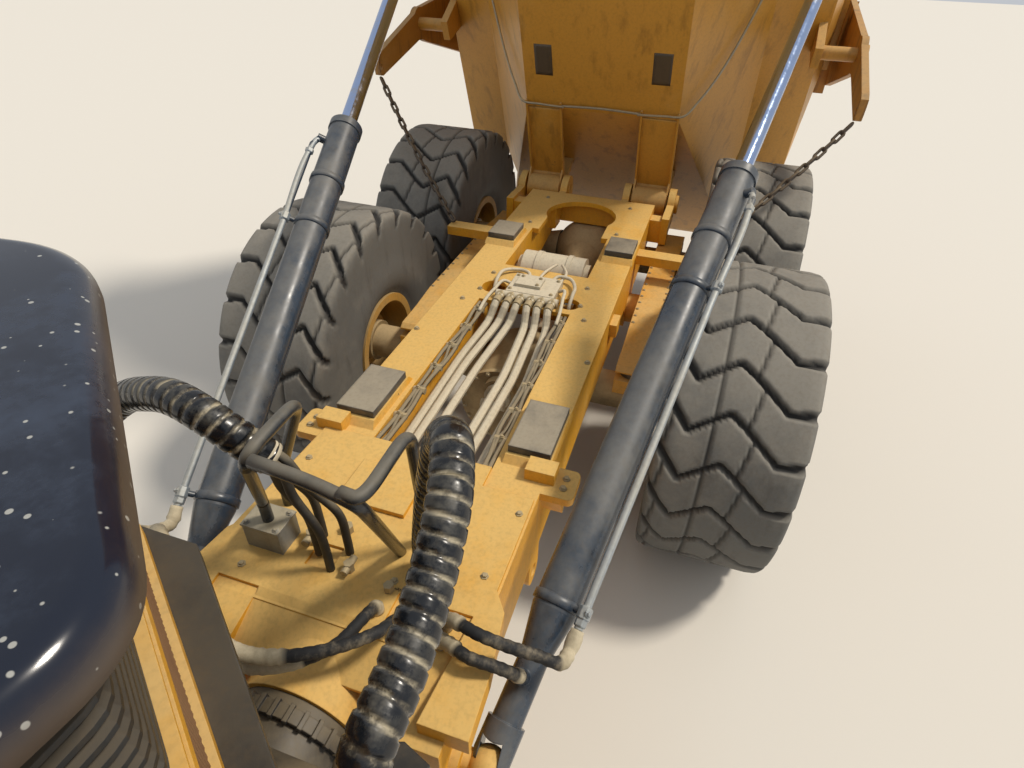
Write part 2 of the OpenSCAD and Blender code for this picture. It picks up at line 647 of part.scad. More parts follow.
// Six hoses fall from the manifold into the bay and run forward along its floor
module bay_hoses() {
    for (i = [0 : len(hose_row) - 1]) let (y = hose_row[i], lane = hose_lanes[i], z = frame_top + 26)
        swept(rounded([
            [bay_rear - 8, y, z], [bay_rear + 60, y, z], [bay_rear + 100, y + (lane - y) * 0.3, z - 110],
            [bay_rear + 480 + 25 * i, lane, z - 170], [bay_front - 200, lane, z - 195 + 12 * i],
            [frame_front - 220, lane, z - 160], [frame_front - 80 - seat, lane, z - 160]
        ], 90, 3), 24, 8);
}
module hose_guard() {
    color(steel_black) placed() difference() {
        for (loop = guard_loops) swept(rounded(loop, 90, 4), 22, 12);
        box([2700, -600, frame_top - 200], [3200, 600, frame_top + cover_t + seat]);
        box(guard_block[0] - [5, 5, 200], guard_block[1] + [5, 5, seat]);
    }
}
module bumper() {
    difference() {
        intersection() {
            translate([0, 0, 620]) linear_extrude(460) polygon([
                [8350, -1400], [8480, -1400], [nose_x - 90, -1230], [nose_x, -900], [nose_x, 900],
                [nose_x - 90, 1230], [8480, 1400], [8350, 1400]
            ]);
            side_plate(-1500, 1500) polygon([
                [8300, 620], [nose_x - 190, 620], [nose_x, 760], [nose_x, 1040], [nose_x - 40, 1080], [8300, 1080]
            ]);
        }
        // Pocket of the towing eye, and the lamps' recesses
        box([nose_x - 150, -150, 700], [nose_x + 10, 150, 1100]);
        both_sides() box([nose_x - 70, 520, 870], [nose_x + 10, 860, 1000]);
    }
    both_sides() for (y = [605, 775]) translate([nose_x - 75, y, 935]) rotate([0, 90, 0]) cylinder(r = 54, h = 55);
    difference() {
        for (z = [760, 900]) box([nose_x - 160, -100, z], [nose_x, 100, z + 40]);
        translate([nose_x - 70, 0, 0]) cylinder(r = tow_r, h = 3000);
    }
}

module bed_section(t) {
    polygon([
        [-rail_half + t, bed_top + 900], [-rail_half + t, bed_top], [-shelf.x + t, shelf.y + t * 0.3],
        [-waist.x + t * 0.8, waist.y + t], [-floor_half + t * 0.5, floor_h + t], [floor_half - t * 0.5, floor_h + t],
        [waist.x - t * 0.8, waist.y + t], [shelf.x - t, shelf.y + t * 0.3], [rail_half - t, bed_top],
        [rail_half - t, bed_top + 900]
    ]);
}
module bed_outside() {
    intersection() {
        side_plate(-2000, 2000) polygon([
            [bed_front - 450, floor_h], [bed_front, 900], [bed_front, guard_top], [bed_front - 700, bed_top],
            [side_rear, bed_top], [-310, shelf.y], [-445, 635], [-tail_back, tail_h], [kick_x, floor_h]
        ]);
        cross_plate(-3000, 6000) bed_section(0);
    }
}
module bed_shell() {
    color(steel_yellow) placed() bed_raised() {
        difference() {
            bed_outside();
            intersection() {
                side_plate(-2000, 2000) polygon([
                    [bed_front - 450 - bed_t, floor_h + bed_t], [bed_front - bed_t, 900],
                    [bed_front - bed_t, guard_top + 100], [-3000, guard_top + 100],
                    [-3000, tail_h + bed_t + (3000 - tail_back) * 0.4165], [-tail_back, tail_h + bed_t],
                    [kick_x, floor_h + bed_t]
                ]);
                cross_plate(-3500, 6000) bed_section(bed_t);
            }
        }
        // Box rails along the tops of the side walls, and stiff edges at the rear of each side
        both_sides() {
            side_plate(rail_half - 40, rail_half + 22) polygon([
                [side_rear - 20, bed_top + 4], [bed_front - 740, bed_top + 4], [bed_front - 740, bed_top - 130],
                [side_rear - 60, bed_top - 130]
            ]);
        }
        // Uprights and a lip on the front wall and its guard
        for (y = [-560, 0, 560]) difference() {
            side_plate(y - 45, y + 45) polygon([
                [bed_front - 2, 960], [bed_front + 42, 1000], [bed_front + 42, guard_top], [bed_front - 2, guard_top]
            ]);
            box([bed_front + 60, -2000, 0], [bed_front + 200, 2000, 3000]);
        }
        box([bed_front - 60, -rail_half + 10, guard_top - 60], [bed_front + 42, rail_half - 10, guard_top]);
    }
}
module bed_brackets() {
    lug = [[hoist_top.x - 160, 1450], [hoist_top.x - 85, 750], [hoist_top.x + 85, 750], [hoist_top.x + 160, 1450]];
    color(steel_yellow) placed() bed_raised() difference() {
        both_sides() {
            difference() {
                union() {
                    side_plate(330, 620) union() {
                        polygon([
                            [0, 0], [-60, floor_h - 20], [-60, 700], [kick_x, 200], [kick_x, floor_h],
                            [100, floor_h - 20]
                        ]);
                        circle(r = 120);
                    }
                    for (y = [322, 612]) side_plate(y, y + 16) polygon([
                        [-20, -60], [60, -90], [170, 60], [kick_x + 60, 100], [kick_x + 60, 160], [-60, 560]
                    ]);
                    // Gussets with an oval hole, out to the bed's sloping side
                    cross_plate(70, 92) difference() {
                        polygon([[618, 150], [618, 620], [1010, 800], [700, 290]]);
                        translate([745, 480]) circle(r = 58);
                    }
                }
                rod_y(0, 0, 300, 650, hinge_pin_r + seat);
            }
            for (y = [hoist_top.y - 135, hoist_top.y + 105]) side_plate(y, y + 30) polygon(lug);
            rod_y(gate_x, gate_h, 1500, arm_in + arm_t + 10, 50);
            rod_y(gate_x, gate_h, arm_in + arm_t + 10, arm_in + arm_t + 22, 74);
            side_plate(1500, 1560) polygon([
                [gate_x - 160, 1300], [gate_x - 80, 700], [gate_x + 80, 700], [gate_x + 160, 1300]
            ]);
        }
        rod_y(-40, 385, -330, 330, 44);
        bed_outside();
        intersection() {
            side_plate(-2000, 2000) square([bed_front, guard_top]);
            cross_plate(0, bed_front) bed_section(0);
        }
    }
}
module tailgate() {
    color("#b98a34") placed() gate_raised() {
        both_sides() {
            difference() {
                side_plate(arm_in, arm_in + arm_t) union() {
                    circle(r = 130);
                    polygon([
                        [60, -110], [0, 130], [-1190, 620], [-1330, 620], [-1400, 60], [-1420, -60], [-150, -120]
                    ]);
                    polygon([[0, -130], [110, 60], [700, -330], [745, -372], [735, -420], [690, -500], [650, -500]]);
                }
                rod_y(0, 0, arm_in - 10, arm_in + arm_t + 20, 50.5);
                translate([690, 0, -440]) rotate([-90, 0, 0]) cylinder(r = 24, h = 3000);
            }
            // A folded edge stiffens the arm and the lever
            side_plate(arm_in + arm_t - 1, arm_in + arm_t + 28) polygon([
                [-1180, 600], [-1330, 600], [-1400, 60], [-1300, 60], [-1250, 540]
            ]);
        }
        side_plate(-arm_in - 1, arm_in + 1) polygon([[-1130, 700], [-1215, 730], [-1512, -95], [-1428, -132]]);
        for (at = gate_ribs) side_plate(-arm_in + 120, arm_in - 120) polygon([
            [-1215 - 297 * at + 4, 730 - 825 * at], [-1275 - 297 * at, 710 - 825 * at],
            [-1310 - 297 * at, 615 - 825 * at], [-1258 - 297 * at, 610 - 825 * at]
        ]);
    }
}
// Link chains from the ends of the gate's levers down to the frame
module gate_chains() {
    tip = raised(1070, -13);
    top = [tip[0] + 40, 1800, tip[1] - 80];
    foot = [-100, 930, 1417.8];
    run = norm(top - foot);
    links = round(run / chain_pitch);
    color("#6b6560") placed() both_sides()
        translate(foot) rotate([0, acos((top.z - foot.z) / run), atan2(top.y - foot.y, top.x - foot.x)])
            for (i = [0 : links - 1]) translate([0, 0, (i + 0.5) * run / links]) rotate([0, 0, (i % 2) * 90])
                chain_link(run / links, chain_r);
}

module along_hoist(side) {
    scale_y(side) translate(hoist_foot)
        rotate([0, acos(hoist_span.z / norm(hoist_span)), atan2(hoist_span.y, hoist_span.x)]) children();
}
module hoist_barrel(side) {
    port = barrel_l - 170;
    out = unit([feed_pipe.x, feed_pipe.y, 0]);
    color("#3a4046") placed() difference() {
        along_hoist(side) difference() {
            union() {
                cylinder(r = 70, h = 150);
                cylinder(r = neck_r, h = 381);
                translate([0, 0, 380]) cylinder(r1 = neck_r, r2 = barrel_r, h = 170);
                translate([0, 0, 549]) cylinder(r = barrel_r, h = barrel_l - 589);
                translate([0, 0, barrel_l - 60]) cylinder(r = barrel_r + 7, h = 46);
                translate([0, 0, barrel_l - 41]) cylinder(r = barrel_r - 8, h = 41);
                for (z = [566, 2040]) translate([0, 0, z]) cylinder(r = barrel_r + 4, h = 30);
                // Port of the lower hose on the neck
                bar([-neck_r + 8, 0, port_z], [-neck_r - 48, 0, port_z], 28);
                // Steel feed pipe along the outer side, with its clamps, up to the port by the gland
                bar(feed_pipe + [0, 0, feed_z], feed_pipe + [0, 0, port - 60], pipe_r);
                bar(feed_pipe + [0, 0, port - 64], out * (barrel_r + 30) + [0, 0, port - 4], pipe_r + 1);
                bar(out * (barrel_r + 40) + [0, 0, port], out * (barrel_r - 10) + [0, 0, port], 22);
                for (z = [563, 2037]) {
                    bar(feed_pipe + [0, 0, z], feed_pipe + [0, 0, z + 36], pipe_r + 8);
                    bar(feed_pipe + [0, 0, z + 18], out * (barrel_r - 12) + [0, 0, z + 18], 13);
                }
            }
            translate([0, 0, 220]) cylinder(r = rod_r + seat, h = barrel_l);
            translate([0, 0, 560]) cylinder(r = barrel_r - 18, h = barrel_l - 640);
        }
        scale_y(side) rod_y(hoist_foot.x, hoist_foot.z, hoist_foot.y - 38, hoist_foot.y + 38, 105);
        scale_y(side) translate(hoist_foot) sphere(r = ball_r + ball_gap);
        scale_y(side) rod_y(hoist_foot.x, hoist_foot.z, hoist_foot.y - 100, hoist_foot.y - 40, hoist_pin_r + 9);
    }
}
// Hoses from the rear frame to the hoist's feed pipes and to the ports on the barrels' necks
module hoist_hoses() {
    color("#222426") placed() for (route = hoist_routes) swept(rounded(route, 60, 3), 24, 8);
}
// Two wrapped hose bundles that swing between the tractor's deck and the rear frame
module main_hoses() {
    color("#1d1e20") placed() for (route = main_routes) swept(rounded(route, 70, 3), 55, 10);
}
module hoist_rod(side) {
    top = raised(hoist_top.x, hoist_top.z);
    color("#b9c4cf") placed() {
        along_hoist(side) translate([0, 0, barrel_l - 180])
            cylinder(r = rod_r, h = norm(hoist_span) - barrel_l + 130);
        scale_y(side) rod_y(top[0], top[1], hoist_top.y - 40, hoist_top.y + 40, 85);
    }
}

module hitch() {
    color("#2f3032") placed() difference() {
        union() {
            translate([frame_front + 240 + seat, 0, roll_z]) rotate([0, 90, 0]) {
                cylinder(r = 222, h = 170);
                // Clamp ring with its row of teeth
                translate([0, 0, 40]) cylinder(r = 250, h = 46);
                for (k = [0 : ring_teeth - 1]) rotate([0, 0, k * 360 / ring_teeth])
                    translate([240, -8, 34]) cube([20, 16, 58]);
            }
            translate([frame_front - 80, 0, roll_z]) rotate([0, 90, 0]) cylinder(r = roll_r, h = 400);
            side_plate(-250, 250) polygon([
                [3700, roll_z - 220], [3700, roll_z + 220], [3820, roll_z + hitch_half], [steer_x, roll_z + hitch_half],
                [steer_x, roll_z - hitch_half], [3820, roll_z - hitch_half]
            ]);
            translate([steer_x, 0, roll_z - hitch_half]) cylinder(r = 250, h = 2 * hitch_half);
            both_sides() for (z = [steer_eye.z - 85, steer_eye.z + 60])
                translate([0, 0, z]) linear_extrude(25) {
                    polygon([[steer_eye.x - 60, 240], [steer_eye.x - 70, steer_eye.y], [steer_eye.x + 70, steer_eye.y],
                        [steer_eye.x + 160, 240]]);
                    translate([steer_eye.x, steer_eye.y]) circle(r = 72);
                }
        }
        translate([steer_x, 0, 0]) cylinder(r = 75 + seat, h = 3000);
        // Core holes through the casting's web
        rod_y(3880, roll_z, -400, 400, 70);
    }
}
module front_frame() {
    color(steel_yellow) placed() {
        both_sides() {
            side_plate(430, 560) polygon([
                [4600, 1130], [4600, 1350], [8350, 1250], [8350, 800], [6600, 700], [5900, 1100], [5300, 1100]
            ]);
            // Hood hinges, steering cylinder brackets, suspension brackets, and the posts under deck and cab
            side_plate(500, 560) union() {
                translate([hood_hinge.x, hood_hinge.y]) circle(r = 60);
                translate([hood_hinge.x - 60, 1200]) square([80, hood_hinge.y - 1200]);
            }
            rod_y(hood_hinge.x, hood_hinge.y, 520, 705, 25);
            translate([0, 0, 1085]) linear_extrude(40) union() {
                translate([steer_foot.x, steer_foot.y]) circle(r = 80);
                translate([steer_foot.x - 80, 500]) square([160, steer_foot.y - 500]);
            }
            translate([steer_foot.x, steer_foot.y, 965]) cylinder(r = 30, h = 140);
            box([5490, 555, 1290], [5650, 730, 1330]);
            box([4640, 555, 1250], [4720, 880, 1330]);
            box([4640, 820, 1250], [4720, 880, deck_z - 60 - seat]);
            box([4640, 440, 1300], [4720, 500, deck_z - 60 - seat]);
            box([6000, 440, 1250], [6080, 500, cab_floor - seat]);
            box([6000, 700, 1900], [6080, 780, cab_floor - seat]);
            box([6000, 440, 1900], [6080, 780, 1960]);
        }
        for (x = [4600, 6700, 7700, 8200]) box([x, -431, 1120], [x + 120, 431, 1220]);
        // Ears above and below the hitch, with the steering pin
        for (z = [roll_z + hitch_half + seat, roll_z - hitch_half - seat - 80]) difference() {
            translate([0, 0, z]) linear_extrude(80) union() {
                translate([steer_x, 0]) circle(r = 260);
                polygon([[steer_x, -260], [4610, -431], [4720, -431], [4720, 431], [4610, 431], [steer_x, 260]]);
            }
            translate([steer_x, 0, 0]) cylinder(r = 70, h = 3000);
        }
        box([4600, -431, roll_z - hitch_half - 80], [4720, 431, roll_z + hitch_half + 80]);
        translate([steer_x, 0, roll_z - hitch_half - 60]) cylinder(r = 75, h = 2 * hitch_half + 120);
        bumper();
    }
}
module front_axle() {
    color("#7d715c") placed() {
        axle(axle_xs[2], false);
        both_sides() {
            box([5480, 440, axle_z], [5660, 550, 1100 - seat]);
            // Suspension cylinders
            translate([axle_xs[2], 645, axle_z + 60]) cylinder(r = 62, h = 190);
            translate([axle_xs[2], 645, axle_z + 240]) cylinder(r = 42, h = 1290 - seat - axle_z - 240);
        }
    }
}
// An upright hoop of round tube with a middle bar, from one foot to the other
module handrail(from, to, h) {
    run = unit(to - from) * rail_r;
    for (p = [from, to]) bar(p, p + [0, 0, h + rail_r - 3], rail_r);
    bar(from - run + [0, 0, h], to + run + [0, 0, h], rail_r - 1);
    bar(from + [0, 0, h * 0.55], to + [0, 0, h * 0.55], rail_r - 4);
}
// Treads between two side plates, hung from the deck and stayed to the frame rail
module ladder() {
    for (x = [ladder_x, ladder_x + ladder_w]) cross_plate(x, x + 20) polygon([
        [1500, 540], [1520, 640], [1430, deck_z - 20], [1230, deck_z - 20], [1320, 540]
    ]);
    for (i = [0 : 4]) let (z = 560 + i * 290, y = 1330 - i * 17)
        difference() {
            box([ladder_x + 5, y, z], [ladder_x + ladder_w + 15, y + 180, z + 34]);
            for (x = [ladder_x + 60 : 70 : ladder_x + ladder_w - 60])
                box([x, y + 30, z - 5], [x + 34, y + 150, z + 40]);
        }
    box([ladder_x + 120, 560 + seat, 1130], [ladder_x + 200, 1340, 1200]);
    box([ladder_x + 5, 1290, 1130], [ladder_x + ladder_w + 15, 1345, 1200]);
}
module exhaust() {
    bar([6340, -1010, deck_z - 5], [6340, -1010, 3250], 55);
    bar([6340, -1010, 2280], [6340, -1010, 2960], 118);
    bar([6340, -1010, 3250], [6290, -1010, 3380], 55);
    translate([6340, -1010, 3250]) sphere(r = 57);
    box([6250, -1090, deck_z - 5], [6430, -930, deck_z + 40]);
}
module engine() {
    color("#5a5a56") placed() box([6400, -400, 1220 + seat], [8050, 400, 2150]);
}
module fenders() {
    color(steel_black) placed() {
        both_sides() {
            side_plate(820, 1720) polygon([
                [4640, deck_z - 60], [4640, deck_z], [6550, deck_z], [6900, 1500], [6850, 1460],
                [6520, deck_z - 60]
            ]);
            // Skirts cut round the tyres
            difference() {
                side_plate(1680, 1720) polygon([
                    [4640, 1480], [4640, deck_z - 50], [6530, deck_z - 50], [6880, 1490], [6850, 1462], [6380, 1462]
                ]);
                rod_y(axle_xs[2], axle_z, 1600, 1800, tyre_r + 75);
            }
            box([4670, 700, deck_z - 5], [4740, 780, cab_floor - seat]);
            // Mirrors on the front posts
            bar([6470, 1690, deck_z + 980], [6470, 1690, deck_z + 1300], 15);
            box([6452, 1560, deck_z + 1060], [6488, 1740, deck_z + 1420]);
        }
        handrail([5860, 1690, deck_z - 5], [6470, 1690, deck_z - 5], 1000);
        handrail([4720, -1690, deck_z - 5], [5580, -1690, deck_z - 5], 1000);
        handrail([5720, -1690, deck_z - 5], [6470, -1690, deck_z - 5], 1000);
        handrail([ladder_x - 30, 1400, deck_z - 5], [ladder_x - 30, 1000, deck_z - 5], 1000);
        handrail([ladder_x + ladder_w + 10, 1400, deck_z - 5], [ladder_x + ladder_w + 10, 900, deck_z - 5], 1000);
        box([6500, 820, deck_z - 60], [ladder_x + ladder_w + 40, 1450, deck_z]);
        ladder();
        exhaust();
        // Deck behind the cab, with a tongue and a collar for the hoses on their way to the frame
        difference() {
            union() {
                translate([0, 0, deck_z - 60]) linear_extrude(60) polygon([
                    [3494, -376], [3845, -757], [4245, -1160], [4660, -1245], [4660, 1250], [4250, 1250],
                    [4100, 800], [3960, 690], [3800, 670], [3775, 600], [3800, 520], [3900, 480], [3960, 440],
                    [3494, -176]
                ]);
                translate([collar.x, collar.y, deck_z - 60]) cylinder(r = 88, h = 120);
            }
            translate([collar.x, collar.y, deck_z - 100]) cylinder(r = 62, h = 200);
        }
        box([4600, -821, deck_z - 60], [4850, 821, deck_z]);
    }
}
// A louvred body of the cooling pack, under a cap that stands out over it all round
module cooling_housing() {
    cap_z = deck_z + seat + housing_h - 290;
    body = [[3530, -360], [3870, -735], [4250, -1115], [4600, -1190], [4600, 520], [4075, 520], [3530, -175]];
    run = body[5] - body[6];
    color(steel_black) placed() {
        difference() {
            translate([0, 0, deck_z + seat]) linear_extrude(cap_z - deck_z) polygon(body);
            translate([body[6].x, body[6].y, 0]) rotate([0, 0, atan2(run.y, run.x)])
                for (i = [0 : louvres - 1]) translate([40 + i * (norm(run) - 60) / louvres, -10, deck_z + 90])
                    cube([(norm(run) - 60) / louvres - 34, 44, cap_z - deck_z - 120]);
            for (i = [0 : louvres - 1]) box([4090 + i * 510 / louvres, 490, deck_z + 90],
                [4090 + i * 510 / louvres + 40, 540, cap_z - 30]);
        }
        // The cap, with its long corners rounded and its top edge bevelled
        intersection() {
            translate([0, 0, cap_z]) linear_extrude(290) union() {
                polygon([
                    [3480, -340], [3850, -750], [4250, -1150], [4630, -1230], [4630, 550], [4120, 550],
                    [4020, 506], [3500, -160], [3476, -240]
                ]);
                translate([4120, 430]) circle(r = 120);
            }
            side_plate(-1300, 600) polygon([
                [3400, cap_z - 1], [3400, cap_z + 230], [3530, cap_z + 290], [4700, cap_z + 290], [4700, cap_z - 1]
            ]);
            cross_plate(3400, 4700) polygon([
                [-1300, cap_z - 1], [-1300, cap_z + 200], [-1130, cap_z + 290], [500, cap_z + 290],
                [560, cap_z + 230], [560, cap_z - 1]
            ]);
        }
    }
}
// The cab's outer form, drawn in by t on all sides
module cab_form(t) {
    front = cab_rear + cab_l;
    intersection() {
        translate([0, 0, cab_floor + t]) linear_extrude(cab_top - cab_floor - t) union() {
            translate([cab_rear + t, -cab_half + cab_round]) square([cab_l - 2 * t, 2 * (cab_half - cab_round)]);
            translate([cab_rear + cab_round, -cab_half + t]) square([cab_l - 2 * cab_round, 2 * (cab_half - t)]);
            for (x = [cab_rear + cab_round, front - cab_round]) for (s = [-1, 1])
                translate([x, s * (cab_half - cab_round)]) circle(r = cab_round - t);
        }
        side_plate(-cab_half - 1, cab_half + 1) polygon([
            [cab_rear, cab_floor], [cab_rear, cab_top - 60 - t], [front - t - screen_run, cab_top - 60 - t],
            [front - t, screen_z], [front - t, cab_floor]
        ]);
    }
}
module cab_shell() {
    front = cab_rear + cab_l;
    color(steel_yellow) placed() {
        difference() {
            union() {
                cab_form(0);
                // Roof that stands out over the screens
                translate([0, 0, cab_top - 85]) linear_extrude(85) union() {
                    translate([cab_rear - 25, -cab_half + 60]) square([cab_l - 60, 2 * cab_half - 120]);
                    translate([cab_rear + 45, -cab_half - 10]) square([cab_l - 200, 2 * cab_half + 20]);
                    for (x = [cab_rear + 45, front - 155]) for (s = [-1, 1])
                        translate([x, s * (cab_half - 60)]) circle(r = 70);
                }
            }
            cab_form(cab_t);
            box([cab_rear + 90, cab_half - 200, cab_floor + 60], [cab_rear + 1000, cab_half + 8, cab_top - 200]);
            box([cab_rear + 120, -cab_half - 8, 2750], [cab_rear + cab_l - 190, -cab_half + 100, cab_top - 230]);
            box([front - 280, -cab_half + 90, screen_z + 50], [front + 10, cab_half - 90, cab_top - 200]);
            box([cab_rear - 10, -cab_half + 90, 2950], [cab_rear + 100, cab_half - 90, cab_top - 230]);
        }
        // Work lamps under the roof's front edge
        both_sides() translate([front - 165, 610, cab_top - 125]) rotate([0, 90, 0]) cylinder(r = 48, h = 60);
    }
    color(steel_black) placed() for (z = door_hinge_zs) {
        box([door_axis.x - 12, cab_half - 10, z - 20], [door_axis.x + 12, door_axis.y + 12, z - seat]);
        translate([door_axis.x, door_axis.y, z - 20]) cylinder(r = 10, h = 80);
    }
}
module cab_glass() {
    front = cab_rear + cab_l;
    low = screen_z + 50 + seat;
    high = cab_top - 200 - seat;
    lean = screen_run / (cab_top - 60 - screen_z);
    color("#9fb4bd") placed() {
        box([cab_rear + 120 + seat, -cab_half + 10, 2750 + seat],
            [cab_rear + cab_l - 190 - seat, -cab_half + 16, cab_top - 230 - seat]);
        side_plate(-cab_half + 90 + seat, cab_half - 90 - seat) polygon([
            [front - 26 - lean * (low - screen_z), low], [front - 20 - lean * (low - screen_z), low],
            [front - 20 - lean * (high - screen_z), high], [front - 26 - lean * (high - screen_z), high]
        ]);
        box([cab_rear + 20, -cab_half + 90 + seat, 2950 + seat],
            [cab_rear + 26, cab_half - 90 - seat, cab_top - 230 - seat]);
    }
}
module cab_interior() {
    color("#38383a") placed() {
        // Seat on its pedestal, console with the dash, and the steering wheel on its column
        box([cab_rear + 480, -180, cab_floor + cab_t + seat], [cab_rear + 820, 180, 2400]);
        side_plate(-250, 250) polygon([
            [cab_rear + 400, 2395], [cab_rear + 400, 2500], [cab_rear + 270, 3020], [cab_rear + 350, 3060],
            [cab_rear + 500, 2560], [cab_rear + 900, 2540], [cab_rear + 920, 2440], [cab_rear + 880, 2395]
        ]);
        side_plate(-140, 140) polygon([
            [cab_rear + 290, 3000], [cab_rear + 255, 3200], [cab_rear + 330, 3220], [cab_rear + 370, 3020]
        ]);
        side_plate(200 - cab_half, cab_half - 200) polygon([
            [cab_rear + cab_l - cab_t - 15, cab_floor + cab_t + seat], [cab_rear + cab_l - cab_t - 15, 2690],
            [cab_rear + cab_l - 200, 2660], [cab_rear + cab_l - 260, 2540],
            [cab_rear + cab_l - 180, cab_floor + cab_t + seat]
        ]);
        translate([cab_rear + 1130, 0, 2720]) rotate([0, -28, 0]) {
            rotate_extrude() translate([200, 0]) circle(r = 15);
            rod_y(0, 0, -198, 198, 12);
            translate([0, 0, -350]) cylinder(r = 30, h = 350);
        }
    }
}
module cab_door() {
    color(steel_yellow) placed() {
        difference() {
            box([cab_rear + 96, cab_half - 50, cab_floor + 66], [cab_rear + 994, cab_half - 4, cab_top - 206]);
            box([cab_rear + 180, cab_half - 100, 2700], [cab_rear + 910, cab_half + 10, cab_top - 290]);
            box([cab_rear + 180, cab_half - 14, 2180], [cab_rear + 910, cab_half + 10, 2560]);
        }
        bar([cab_rear + 940, cab_half + 26, 2450], [cab_rear + 940, cab_half + 26, 2900], 12);
        for (z = [2460, 2890]) rod_y(cab_rear + 940, z, cab_half - 8, cab_half + 26, 12);
        for (z = door_hinge_zs) difference() {
            union() {
                translate([door_axis.x, door_axis.y, z]) cylinder(r = 18, h = 60);
                box([door_axis.x, cab_half + 2, z], [cab_rear + 170, door_axis.y, z + 60]);
                box([cab_rear + 100, cab_half - 5, z], [cab_rear + 170, cab_half + 3, z + 60]);
            }
            translate([door_axis.x, door_axis.y, z - 10]) cylinder(r = 10 + seat, h = 80);
        }
    }
}
module door_glass() {
    color("#9fb4bd") placed() box([cab_rear + 180 + seat, cab_half - 30, 2700 + seat], [cab_rear + 910 - seat, cab_half - 24, cab_top - 290 - seat]);
}
module hood() {
    color(steel_yellow) placed() difference() {
        union() {
            side_plate(-700, 700) polygon([
                [6260, 1340], [6260, 2550], [8350, 2150], [8394, hood_low], [8100, hood_low]
            ]);
            side_plate(-340, 340) polygon([[6270, 2540], [6300, 2604], [7760, 2322], [7960, 2216]]);
        }
        side_plate(-660, 660) polygon([[6200, 1200], [6200, 2510], [8310, 2110], [8366, 1200]]);
        both_sides() {
            rod_y(hood_hinge.x, hood_hinge.y, 600, 800, 25 + seat);
            // Air slots in the sides
            for (i = [0 : hood_slots - 1]) box([6700 + i * 140, 640, 1760], [6780 + i * 140, 720, 2080]);
        }
        // The grille's opening in the front
        box([8300, -560, 1520], [8450, 560, 2060]);
    }
}
module front_grille() {
    color(steel_black) placed() difference() {
        side_plate(-600, 600) polygon([
            [8394.3, hood_low], [8353.6, 2100], [8393, 2100], [8434, hood_low]
        ]);
        for (z = [1530 : grille_pitch : 2010]) for (y = [-550, 20]) box([8300, y, z], [8500, y + 530, z + grille_pitch - 32]);
    }
}

module along_steer(side) {
    d = steer_eye - steer_foot;
    scale_y(side) translate(steer_foot) rotate([0, acos(d.z / norm(d)), atan2(d.y, d.x)]) children();
}
module steer_barrel(side) {
    color(steel_black) placed() {
        along_steer(side) difference() {
            translate([0, 0, 60]) cylinder(r = 52, h = steer_barrel_l - 60);
            translate([0, 0, 90]) cylinder(r = 30 + seat, h = steer_barrel_l);
        }
        scale_y(side) translate(steer_foot - [0, 0, 45]) difference() {
            cylinder(r = 70, h = 90);
            translate([0, 0, -1]) cylinder(r = 30 + seat, h = 92);
        }
    }
}
module steer_rod(side) {
    color("#b9c4cf") placed() {
        along_steer(side) translate([0, 0, 520]) cylinder(r = 30, h = norm(steer_eye - steer_foot) - 520);
        scale_y(side) translate(steer_eye - [0, 0, 45]) cylinder(r = 65, h = 90);
    }
}

rear_frame();
body_pads();
walking_beams();
bogie_axles();
propshafts();
air_tank();
valve_block();
hose_guard();
tyre(axle_xs[0], 1);  // tyre_rear_left
tyre(axle_xs[0], -1);  // tyre_rear_right
tyre(axle_xs[1], 1);  // tyre_centre_left
tyre(axle_xs[1], -1);  // tyre_centre_right
tyre(axle_xs[2], 1);  // tyre_front_left
tyre(axle_xs[2], -1);  // tyre_front_right
rim(axle_xs[0], 1);  // rim_rear_left
rim(axle_xs[0], -1);  // rim_rear_right
rim(axle_xs[1], 1);  // rim_centre_left
rim(axle_xs[1], -1);  // rim_centre_right
rim(axle_xs[2], 1);  // rim_front_left
rim(axle_xs[2], -1);  // rim_front_right
bed_shell();
bed_brackets();
tailgate();
gate_chains();
hoist_barrel(1);  // hoist_barrel_left
hoist_barrel(-1);  // hoist_barrel_right
hoist_rod(1);  // hoist_rod_left
hoist_rod(-1);  // hoist_rod_right
hoist_hoses();
main_hoses();
hitch();
front_frame();
front_axle();
engine();
fenders();
cooling_housing();
cab_shell();
cab_glass();
cab_interior();
cab_door();
door_glass();
hood();
front_grille();
steer_barrel(1);  // steer_barrel_left
steer_barrel(-1);  // steer_barrel_right
steer_rod(1);  // steer_rod_left
steer_rod(-1);  // steer_rod_right
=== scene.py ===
import math
import bpy
import numpy as np
from mathutils import Matrix


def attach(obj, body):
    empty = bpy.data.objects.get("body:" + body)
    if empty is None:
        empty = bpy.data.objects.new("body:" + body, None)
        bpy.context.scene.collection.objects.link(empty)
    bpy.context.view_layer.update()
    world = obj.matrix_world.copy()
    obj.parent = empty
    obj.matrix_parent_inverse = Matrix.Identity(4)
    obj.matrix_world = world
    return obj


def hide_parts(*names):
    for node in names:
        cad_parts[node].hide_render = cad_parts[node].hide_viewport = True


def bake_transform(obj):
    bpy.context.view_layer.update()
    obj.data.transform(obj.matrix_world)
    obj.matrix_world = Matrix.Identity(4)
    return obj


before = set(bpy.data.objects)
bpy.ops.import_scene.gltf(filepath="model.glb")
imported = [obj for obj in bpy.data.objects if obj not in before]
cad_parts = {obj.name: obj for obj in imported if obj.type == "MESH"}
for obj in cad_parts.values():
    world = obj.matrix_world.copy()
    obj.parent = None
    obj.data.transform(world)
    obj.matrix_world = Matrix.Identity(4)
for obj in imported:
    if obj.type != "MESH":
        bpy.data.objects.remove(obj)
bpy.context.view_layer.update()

scene = bpy.context.scene

